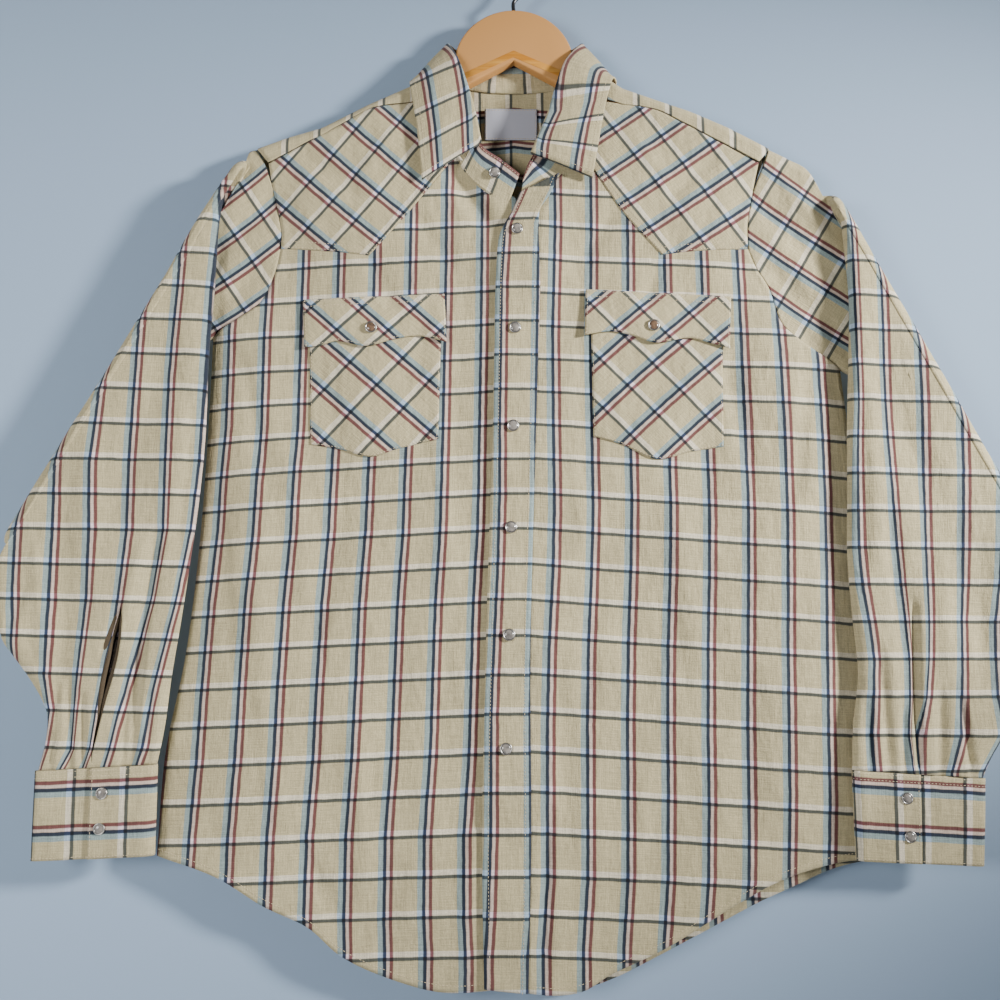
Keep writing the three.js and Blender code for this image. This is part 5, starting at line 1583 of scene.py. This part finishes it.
class ShirtColours(bpy.types.PropertyGroup):
    """Colours of the cloth and its fittings. The stripes tint the ground."""

    ground: colour_property("Ground", "Undyed ground of the cloth", (0.45, 0.383, 0.218))
    light_blue: colour_property("Light blue", "Tint of the light blue warp stripe", (0.54, 0.80, 1.35))
    navy: colour_property("Navy", "Tint of the navy warp stripe", (0.035, 0.06, 0.17))
    pink_white: colour_property("Pink white", "Tint of the pale warp stripe", (1.2, 1.1, 1.55))
    red: colour_property("Red", "Tint of the red warp stripe", (0.29, 0.125, 0.19))
    white: colour_property("White", "Tint of the white weft stripe", (1.4, 1.46, 1.9))
    black: colour_property("Black", "Tint of the black weft stripe", (0.15, 0.185, 0.25))
    thread: colour_property("Thread", "Sewing thread", (0.60, 0.50, 0.33))
    # Painted shade: a dark brown that stands for the shade inside the open slit, not a colour of the cloth
    slit_painted_shade: colour_property("Slit painted shade", "Shaded inside of the open slit", (0.085, 0.062, 0.038))
    pearl: colour_property("Pearl", "Mother-of-pearl of the snaps", (0.30, 0.27, 0.235))
    pearl_dark: colour_property("Pearl shade", "Darker bands of the pearl", (0.12, 0.11, 0.10))
    bronze: colour_property("Bronze pearl", "Brown pearl of the flap snaps", (0.20, 0.12, 0.07))
    bronze_dark: colour_property("Bronze shade", "Darker bands of the brown pearl", (0.06, 0.04, 0.03))
    nickel: colour_property("Nickel", "Rims of the snaps", (0.42, 0.40, 0.37))
    label: colour_property("Label", "Plain woven neck label", (0.30, 0.31, 0.36))
    wood: colour_property("Wood", "Varnished wood of the hanger", (0.50, 0.195, 0.022))
    wood_dark: colour_property("Wood grain", "Darker grain of the wood", (0.38, 0.135, 0.016))
    strip: colour_property("Strip", "Lighter strip of the hanger", (0.68, 0.34, 0.07))
    steel: colour_property("Steel", "Wire of the hook", (0.10, 0.10, 0.105))
    floor: colour_property("Floor", "Plain pale floor", (0.62, 0.63, 0.66))
    wall: colour_property("Wall", "Plain wall behind the shirt", (0.30, 0.40, 0.53))


class ShirtOperator:
    """What the operators of the shirt share."""

    bl_options = {"REGISTER", "UNDO"}

    def execute(self, context):
        self.make(context.scene.shirt_sizes, context.scene.shirt_colours)
        return {"FINISHED"}


class SHIRT_OT_materials(ShirtOperator, bpy.types.Operator):
    """Makes the materials of the cloth, thread, snaps, label and hanger"""

    bl_idname = "shirt.materials"
    bl_label = "Materials"

    def make(self, sizes, colours):
        check_material(colours)
        plain_cloth("thread", colours.thread, 0.8, 1400, 0.0001)
        # The slit's binding material is painted shade, dark brown for the shade inside the sleeve
        plain_cloth("slit_inside", colours.slit_painted_shade, 0.95)
        plain_cloth("label", colours.label, 0.75, 1100, 0.0002)
        pearl_material("pearl", colours.pearl, colours.pearl_dark)
        pearl_material("bronze", colours.bronze, colours.bronze_dark)
        metal_material("nickel", colours.nickel, 0.3)
        metal_material("steel", colours.steel, 0.35)
        wood_material("wood", colours.wood, colours.wood_dark)
        wood_material("strip_wood", colours.strip, colours.wood)


class SHIRT_OT_fronts(ShirtOperator, bpy.types.Operator):
    """Makes the two fronts and their pointed yokes"""

    bl_idname = "shirt.fronts"
    bl_label = "Fronts and front yokes"

    def make(self, sizes, colours):
        for name, side in SIDES.items():
            wall = sizes.cloth * 1000
            grid = front_panel(side, (96, 200))
            chart = front_chart(name, grid[..., 0], grid[..., 2])
            piece = "front_" + name
            sheet_of_cloth(piece + "_cloth", grid, chart, [piece], (0, -1, 0), wall)
            grid = front_yoke(side, (60, 44))
            chart = bias_chart("front_yoke_" + name, grid[..., 0], grid[..., 2])
            piece = "front_yoke_" + name
            sheet_of_cloth(piece + "_cloth", grid, chart, [piece], (0, -1, 0), 1.4 * wall)


class SHIRT_OT_back(ShirtOperator, bpy.types.Operator):
    """Makes the back and its yoke that reaches over the shoulders"""

    bl_idname = "shirt.back"
    bl_label = "Back and back yoke"

    def make(self, sizes, colours):
        grid = back_panel((140, 180))
        chart = straight_chart(grid[..., 0], grid[..., 2], 6, -310)
        sheet_of_cloth("back_cloth", grid, chart, ["back"], (0, 1, 0), sizes.cloth * 1000)
        grid = back_yoke((150, 84))
        chart = yoke_chart(grid)
        wall = sizes.cloth * 1400
        sheet_of_cloth("back_yoke_cloth", grid, chart, ["back_yoke"], (0, 1, 0), wall)


class SHIRT_OT_sleeves(ShirtOperator, bpy.types.Operator):
    """Makes the two folded sleeves, the right one with its open slit and binding"""

    bl_idname = "shirt.sleeves"
    bl_label = "Sleeves"

    def make(self, sizes, colours):
        for name in SIDES:
            grid = sleeve_tube(name)
            first, second, faces = sleeve_charts(name, grid)
            piece = "sleeve_" + name
            wall = sizes.cloth * 1000
            sheet_of_cloth(
                piece + "_cloth", grid, first, [piece], None, wall, (second, faces)
            )
        self.bind_slit(sizes)

    def bind_slit(self, sizes):
        """The folded strip round the open slit, behind the edge of the sleeve's cloth, in painted shade: a
        dark brown that stands for the shade inside the sleeve.
        """
        rows = RIGHT_SLIT[1:-1]
        outer, inner = [], []
        for way in (-1, 1):
            order = rows if way < 0 else rows[::-1]
            open_half = order["open"] / 2
            halves = (outer, open_half + BINDING_HOLD), (inner, np.maximum(open_half - BINDING_SHOW, 0.3))
            for line, half in halves:
                line.append(np.stack([-(order["x"] + way * half), 0 * order["z"], order["z"]], 1))
        outer, inner = [smooth_curve(np.concatenate(part), 8) for part in (outer, inner)]
        share = np.linspace(0, 1, 7)[:, None, None]
        grid = outer[None] * (1 - share) + inner[None] * share
        grid[..., 1] = -16.1 - 0.5 * np.sin(np.pi * share[..., 0])
        chart = straight_chart(grid[..., 0], grid[..., 2], 2, 4)
        sheet_of_cloth(
            "slit_binding_cloth", grid, chart, ["slit_binding_right"], (0, -1, 0),
            # The binding takes the painted shade material, dark for the shade inside the sleeve
            sizes.cloth * 1000, look="slit_inside",
        )


class SHIRT_OT_collar(ShirtOperator, bpy.types.Operator):
    """Makes the collar stand and the leaf that falls from it"""

    bl_idname = "shirt.collar"
    bl_label = "Collar"

    def make(self, sizes, colours):
        wall = sizes.double * 1000
        grid = stand_sheet(14)
        chart = stand_chart(grid)
        size = (0.46, 0.035)
        self.piece("collar_stand_cloth", grid, chart, size, "collar_stand", wall)
        grid = leaf_sheet(6)
        chart = leaf_chart(grid)
        self.piece("collar_leaf_cloth", grid, chart, (0.5, 0.085), "collar_leaf", wall)

    def piece(self, name, grid, chart, size, solid, wall):
        row, column = int(len(grid) * 0.6), grid.shape[1] // 3
        away = grid[row, column] - NECK_MIDDLE
        sheet_of_cloth(name, grid, chart, [solid], tuple(away), wall)


class SHIRT_OT_band(ShirtOperator, bpy.types.Operator):
    """Makes the front band"""

    bl_idname = "shirt.band"
    bl_label = "Front band"

    def make(self, sizes, colours):
        grid = band_panel((22, 300))
        chart = band_chart(grid[..., 0], grid[..., 2])
        wall = sizes.double * 1000
        sheet_of_cloth("front_band_cloth", grid, chart, ["front_band"], (0, -1, 0), wall)


class SHIRT_OT_pockets(ShirtOperator, bpy.types.Operator):
    """Makes the two pointed pockets and their flaps"""

    bl_idname = "shirt.pockets"
    bl_label = "Pockets and flaps"

    def make(self, sizes, colours):
        for name, side in SIDES.items():
            piece = "pocket_" + name
            grid = pocket_panel(side, (54, 58))
            chart = bias_chart(piece, grid[..., 0], grid[..., 2])
            wall = sizes.cloth * 1000
            sheet_of_cloth(piece + "_cloth", grid, chart, [piece], (0, -1, 0), wall * 1.8)
            piece = "pocket_flap_" + name
            grid = flap_panel(side, (70, 24))
            chart = bias_chart(piece, grid[..., 0], grid[..., 2])
            wall = sizes.double * 1000
            sheet_of_cloth(piece + "_cloth", grid, chart, [piece], (0, -1, 0), wall)


class SHIRT_OT_cuffs(ShirtOperator, bpy.types.Operator):
    """Makes the two lapped cuffs"""

    bl_idname = "shirt.cuffs"
    bl_label = "Cuffs"

    def make(self, sizes, colours):
        for name, side in SIDES.items():
            grid = cuff_ring(name, 26)
            chart = cuff_chart(name, grid)
            row, column = int(len(grid) * 0.6), grid.shape[1] // 3
            middle = side["sign"] * (side["cuff"]["top_in"][0] + side["cuff"]["top_out"][0]) / 2
            away = grid[row, column] - np.array((middle, side["cuff"]["y"], -845))
            piece = "cuff_" + name
            wall = sizes.double * 1000
            sheet_of_cloth(piece + "_cloth", grid, chart, [piece], tuple(away), wall)


class SHIRT_OT_stitches(ShirtOperator, bpy.types.Operator):
    """Sews the edges of the yokes, band, collar, cuffs, pockets and hems"""

    bl_idname = "shirt.stitches"
    bl_label = "Stitches"

    def make(self, sizes, colours):
        front, back = (0, -1, 0), (0, 1, 0)
        lift = 0.1
        body, bands, collar, cuffs = [], [], [], []
        for name in SIDES:
            form = FORMS["front_yoke_" + name + "_cloth"]
            for inset in (1.6, 7.6):
                body.append((inset_line(form, "bottom", inset), front, lift))
            form = FORMS["front_" + name + "_cloth"]
            body.append((inset_line(form, "bottom", 6), front, lift))
            form = FORMS["pocket_" + name + "_cloth"]
            for edge in ("left", "right", "bottom"):
                bands.append((inset_line(form, edge, 1.6), front, lift))
            form = FORMS["pocket_flap_" + name + "_cloth"]
            for edge in ("left", "right", "bottom", "top"):
                bands.append((inset_line(form, edge, 1.8), front, lift))
            bands.append((inset_line(form, "top", 7), front, lift))
            form = FORMS["cuff_" + name + "_cloth"]
            middle = form.mean((0, 1))
            for edge, inset in (("top", 2), ("bottom", 2), ("top", 7)):
                line = inset_line(form, edge, inset)
                cuffs.append((line, self.outward(line, middle, (0.12, 1, 0)), lift))
            line = inset_line(form, "right", 2)
            cuffs.append((line, front, lift))
        form = FORMS["front_band_cloth"]
        for edge, inset in (("left", 5.5), ("right", 5.5)):
            bands.append((inset_line(form, edge, inset), front, lift))
        form = FORMS["back_cloth"]
        body.append((inset_line(form, "bottom", 6), back, lift))
        form = FORMS["back_yoke_cloth"]
        for inset in (1.6, 7.6):
            body.append((inset_line(form, "bottom", inset), back, lift))
        top = inset_line(form, "top", 1.8)
        count = len(top)
        body.append((top[: count // 3], front, lift))
        body.append((top[-count // 3 :], front, lift))
        form = FORMS["collar_leaf_cloth"]
        for edge, inset in (("bottom", 5.5), ("left", 5.5), ("right", 5.5)):
            line = inset_line(form, edge, inset)
            collar.append((line, self.outward(line, NECK_MIDDLE, (0.5, 1.6, 0)), lift))
        form = FORMS["collar_stand_cloth"]
        for edge in ("top", "bottom"):
            line = inset_line(form, edge, 2)
            collar.append((line, self.outward(line, NECK_MIDDLE, (0.5, 1, 0)), lift))
        sew("stitches_body", body, sizes)
        sew("stitches_bands", bands, sizes)
        sew("stitches_collar", collar, sizes)
        sew("stitches_cuffs", cuffs, sizes)

    def outward(self, line, middle, weight):
        """The way out of a band at a line on it: away from its middle, mostly forward or back."""
        spots = stitch_places(line, 3.2)[0]
        way = (spots - middle) * weight
        return way / np.maximum(np.linalg.norm(way, axis=1), 1e-6)[:, None]


SNAP_PEARL = table("radius height", (0, 2.35), (0.25, 2.3), (0.5, 2.05), (0.66, 1.65), (0.74, 1.3))
SNAP_RIM = table(
    "radius height", (0.74, 1.2), (0.78, 1.5), (0.85, 1.72), (0.92, 1.66), (0.97, 1.4), (1, 1),
    (1, 0.5), (0.96, 0),
)


class SHIRT_OT_snaps(ShirtOperator, bpy.types.Operator):
    """Sets the snaps on the band, collar, flaps and cuffs"""

    bl_idname = "shirt.snaps"
    bl_label = "Snaps"

    def make(self, sizes, colours):
        for node in sorted(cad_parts):
            if node.startswith("snap_"):
                flap = node.startswith("snap_flap")
                self.snap(node, "bronze" if flap else "pearl", sizes.snap_steps)

    def snap(self, node, look, steps):
        low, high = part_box(node)
        middle = (low + high) / 2
        radius = (high.x - low.x) / 2
        bm = bmesh.new()
        for rows, material in ((SNAP_PEARL, 0), (SNAP_RIM, 1)):
            verts = [bm.verts.new((row["radius"] * radius, 0, row["height"] * MM)) for row in rows]
            edges = [bm.edges.new(pair) for pair in zip(verts, verts[1:])]
            bmesh.ops.spin(
                bm, geom=verts + edges, cent=(0, 0, 0), axis=(0, 0, 1), angle=2 * math.pi, steps=steps,
                use_merge=True,
            )
            for face in bm.faces:
                if face.material_index == 0 and material == 1 and self.outer(face, radius):
                    face.material_index = 1
        bmesh.ops.remove_doubles(bm, verts=bm.verts, dist=1e-5)
        bottom = [e for e in bm.edges if e.is_boundary and e.verts[0].co.z < 1e-5 and e.verts[1].co.z < 1e-5]
        bmesh.ops.holes_fill(bm, edges=bottom)
        place = Matrix.Translation((middle.x, high.y, middle.z)) @ Matrix.Rotation(math.pi / 2, 4, "X")
        bmesh.ops.transform(bm, matrix=place, verts=bm.verts)
        bmesh.ops.recalc_face_normals(bm, faces=bm.faces)
        mesh = bpy.data.meshes.new(node + "_set")
        bm.to_mesh(mesh)
        bm.free()
        smooth_faces(mesh)
        for name in (look, "nickel"):
            mesh.materials.append(bpy.data.materials[name])
        obj = new_object(node + "_set", mesh)
        finish_piece(obj, "bronze_snap" if look == "bronze" else "pearl_snap", node)

    def outer(self, face, radius):
        centre = face.calc_center_median()
        return math.hypot(centre.x, centre.y) > 0.745 * radius


class SHIRT_OT_label(ShirtOperator, bpy.types.Operator):
    """Makes the plain neck label with its stitched edge"""

    bl_idname = "shirt.label"
    bl_label = "Neck label"

    def make(self, sizes, colours):
        low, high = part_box("neck_label")
        x = np.linspace(low.x + 0.0004, high.x - 0.0004, 41) / MM
        z = np.linspace(high.z - 0.0004, low.z + 0.0004, 27) / MM
        grid = np.stack(np.broadcast_arrays(x[None, :], low.y / MM + 0.2, z[:, None]), -1).copy()
        grid[..., 1] += 0.25 * np.sin(grid[..., 0] / 11) * np.sin(grid[..., 2] / 9)
        chart = grid[..., [0, 2]] / 30
        sheet_of_cloth(
            "neck_label_cloth", grid, chart, ["neck_label"], (0, -1, 0), 0.6, look="label", slot="label"
        )
        edges = "left", "right", "top", "bottom"
        lines = [(inset_line(grid, edge, 1.5), (0, -1, 0), 0.1) for edge in edges]
        sew("stitches_label", lines, sizes)


class SHIRT_OT_hanger(ShirtOperator, bpy.types.Operator):
    """Makes the wooden hanger with its lighter strip, and its wire hook"""

    bl_idname = "shirt.hanger"
    bl_label = "Hanger"

    def make(self, sizes, colours):
        angle = np.linspace(math.pi, 0, 97)
        hub = np.stack([HUB_RADIUS * np.cos(angle), HUB_TOP - HUB_RADIUS + HUB_RADIUS * np.sin(angle)], 1)
        arm_top = smooth_curve(np.stack([ARM_TOP["x"], 0 * ARM_TOP["x"], ARM_TOP["z"]], 1), 6)[:, [0, 2]]
        low = smooth_curve(np.stack([ARM_LOW["x"][1:-1], 0 * ARM_LOW["x"][1:-1], ARM_LOW["z"][1:-1]], 1), 6)
        tip = np.array([[ARM_LOW["x"][0], ARM_LOW["z"][0]]])
        arm_low = np.concatenate([tip, low[:, [0, 2]]])
        flip = np.array((-1, 1))
        middle = np.array([[0, ARM_LOW["z"][-1]]])
        outline = np.concatenate(
            [arm_top[::-1] * flip, hub[1:-1], arm_top, arm_low, middle, arm_low[::-1] * flip]
        )
        obj = self.block("hanger_wood", outline, -HANGER_THICK / 2, HANGER_THICK / 2, 2, 4, "wood")
        finish_piece(obj, "wood", "hanger_body")
        strip = table(
            "x z", (-52.5, -137), (-0.4, -111.6), (49.5, -134), (49.5, -126.8), (-0.4, -104.4),
            (-52.5, -129.8),
        )
        outline = np.stack([strip["x"], strip["z"]], 1)
        front = -HANGER_THICK / 2
        obj = self.block("hanger_strip", outline, front - 0.35, front + 0.5, 0.2, 2, "strip_wood")
        finish_piece(obj, "wood")
        self.hook()

    def block(self, name, outline, front, back, bevel, segments, look):
        """A flat outline with a depth and rounded front and back edges."""
        bm = bmesh.new()
        face = bm.faces.new([bm.verts.new((x * MM, front * MM, z * MM)) for x, z in outline])
        extruded = bmesh.ops.extrude_face_region(bm, geom=[face])["geom"]
        moved = [part for part in extruded if isinstance(part, bmesh.types.BMVert)]
        bmesh.ops.translate(bm, vec=(0, (back - front) * MM, 0), verts=moved)
        bmesh.ops.recalc_face_normals(bm, faces=bm.faces)
        flat = [e for e in bm.edges if abs(e.verts[0].co.y - e.verts[1].co.y) < 1e-6]
        bmesh.ops.bevel(
            bm, geom=flat, offset=bevel * MM, segments=segments, profile=0.5, affect="EDGES", material=-1
        )
        mesh = bpy.data.meshes.new(name)
        bm.to_mesh(mesh)
        bm.free()
        smooth_faces(mesh)
        mesh.set_sharp_from_angle(angle=math.radians(32))
        mesh.materials.append(bpy.data.materials[look])
        return new_object(name, mesh)

    def hook(self):
        """The wire: a stem out of the hub that swings out and round over the rail."""
        middle = HOOK_RADIUS + WIRE
        points = [(0, 0, HUB_TOP - STEM_IN_HUB + 0.3), (0, 0, HUB_TOP), (0, 0, HUB_TOP + 12)]
        points.append((middle * 0.55, 0, -HOOK_RADIUS - middle * 0.95))
        for i in range(11):
            angle = math.pi * i / 10 * 1.06 - 0.1
            points.append((middle * math.cos(angle), 0, -HOOK_RADIUS + middle * math.sin(angle)))
        line = smooth_curve(points, 8)
        curve = bpy.data.curves.new("hook_line", "CURVE")
        curve.dimensions = "3D"
        curve.bevel_depth = (WIRE - 0.05) * MM
        curve.bevel_resolution = 8
        curve.use_fill_caps = True
        spline = curve.splines.new("POLY")
        spline.points.add(len(line) - 1)
        for point, place in zip(spline.points, line):
            point.co = (*(place * MM), 1)
        source = new_object("hook_line", curve)
        bpy.context.view_layer.update()
        shape = source.evaluated_get(bpy.context.evaluated_depsgraph_get())
        mesh = bpy.data.meshes.new_from_object(shape)
        bpy.data.objects.remove(source)
        bpy.data.curves.remove(curve)
        bm = bmesh.new()
        bm.from_mesh(mesh)
        bmesh.ops.remove_doubles(bm, verts=bm.verts, dist=1e-6)
        bmesh.ops.recalc_face_normals(bm, faces=bm.faces)
        bm.to_mesh(mesh)
        bm.free()
        mesh.name = "hanger_wire"
        smooth_faces(mesh)
        mesh.materials.clear()
        mesh.materials.append(bpy.data.materials["steel"])
        finish_piece(new_object("hanger_wire", mesh), "hook_steel", "hanger_hook")


class SHIRT_OT_stage(ShirtOperator, bpy.types.Operator):
    """Sets the floor, the wall, the soft lights and the camera"""

    bl_idname = "shirt.stage"
    bl_label = "Stage"

    def make(self, sizes, colours):
        self.plane("floor", (0, 0, -1.32), (0, 0, 0), colours.floor)
        self.plane("wall", (0, 0.0205, 0), (math.pi / 2, 0, 0), colours.wall)
        self.spot("key", (2.1, -1.0, 0.0), 610)
        self.light("fill", (-1.4, -1.5, -0.55), 0.9, 29)
        self.light("rear", (0.8, 2.6, 0.9), 1.8, 50)
        world = bpy.data.worlds.new("studio")
        world.use_nodes = True
        background = world.node_tree.nodes["Background"]
        background.inputs["Color"].default_value = (0.93, 0.95, 1, 1)
        background.inputs["Strength"].default_value = 0.13
        bpy.context.scene.world = world
        camera = bpy.data.cameras.new("camera")
        camera.lens = 36
        camera.sensor_width = 36
        camera.clip_end = 50
        seat = new_object("camera", camera)
        aim = Vector((-0.014, -0.009, -0.559))
        way = Vector((0, 0.9906, 0.1368)).normalized()
        seat.location = aim - way * 0.936
        seat.rotation_euler = way.to_track_quat("-Z", "Y").to_euler()
        bpy.context.scene.camera = seat

    def plane(self, name, place, turn, colour):
        bm = bmesh.new()
        bmesh.ops.create_grid(bm, x_segments=1, y_segments=1, size=6)
        mesh = bpy.data.meshes.new(name)
        bm.to_mesh(mesh)
        bm.free()
        material, tree, surface = new_material(name, 0.9)
        surface.inputs["Base Color"].default_value = tuple(colour) + (1,)
        if name == "wall":
            side = tree.nodes.new("ShaderNodeNewGeometry").outputs["Backfacing"]
            clear = tree.nodes.new("ShaderNodeBsdfTransparent")
            both = tree.nodes.new("ShaderNodeMixShader")
            tree.links.new(side, both.inputs[0])
            tree.links.new(surface.outputs[0], both.inputs[1])
            tree.links.new(clear.outputs[0], both.inputs[2])
            output = tree.nodes["Material Output"]
            tree.links.new(both.outputs[0], output.inputs["Surface"])
        mesh.materials.append(material)
        obj = new_object(name, mesh)
        # light from behind reaches the back of the shirt, which is looked at through the wall
        obj.visible_shadow = name != "wall"
        obj.location = place
        obj.rotation_euler = turn

    def spot(self, name, place, power):
        lamp = bpy.data.lights.new(name, "SPOT")
        lamp.spot_size = math.radians(34)
        lamp.spot_blend = 1
        lamp.shadow_soft_size = 0.15
        lamp.energy = power
        obj = new_object(name, lamp)
        obj.location = place
        obj.rotation_euler = (Vector((0, 0, -0.5)) - Vector(place)).to_track_quat("-Z", "Y").to_euler()

    def light(self, name, place, size, power):
        lamp = bpy.data.lights.new(name, "AREA")
        lamp.shape = "DISK"
        lamp.size = size
        lamp.energy = power
        obj = new_object(name, lamp)
        obj.location = place
        way = Vector((0, 0, -0.5)) - Vector(place)
        obj.rotation_euler = way.to_track_quat("-Z", "Y").to_euler()


STEPS = (
    SHIRT_OT_materials,
    SHIRT_OT_fronts,
    SHIRT_OT_back,
    SHIRT_OT_sleeves,
    SHIRT_OT_collar,
    SHIRT_OT_band,
    SHIRT_OT_pockets,
    SHIRT_OT_cuffs,
    SHIRT_OT_stitches,
    SHIRT_OT_snaps,
    SHIRT_OT_label,
    SHIRT_OT_hanger,
    SHIRT_OT_stage,
)


class SHIRT_PT_panel(bpy.types.Panel):
    """Lists the steps that make the shirt"""

    bl_idname = "SHIRT_PT_panel"
    bl_label = "Shirt"
    bl_space_type = "VIEW_3D"
    bl_region_type = "UI"
    bl_category = "Shirt"

    def draw(self, context):
        for step in STEPS:
            self.layout.operator(step.bl_idname)


CLASSES = (ShirtSizes, ShirtColours, *STEPS, SHIRT_PT_panel)


def register():
    for item in CLASSES:
        bpy.utils.register_class(item)
    bpy.types.Scene.shirt_sizes = PointerProperty(type=ShirtSizes)
    bpy.types.Scene.shirt_colours = PointerProperty(type=ShirtColours)


def unregister():
    del bpy.types.Scene.shirt_sizes
    del bpy.types.Scene.shirt_colours
    for item in reversed(CLASSES):
        bpy.utils.unregister_class(item)


def plain(bounds):
    return [list(corner) for corner in bounds]


def main():
    register()
    for step in STEPS:
        group, call = step.bl_idname.split(".")
        getattr(getattr(bpy.ops, group), call)()


if __name__ == "__main__":
    main()
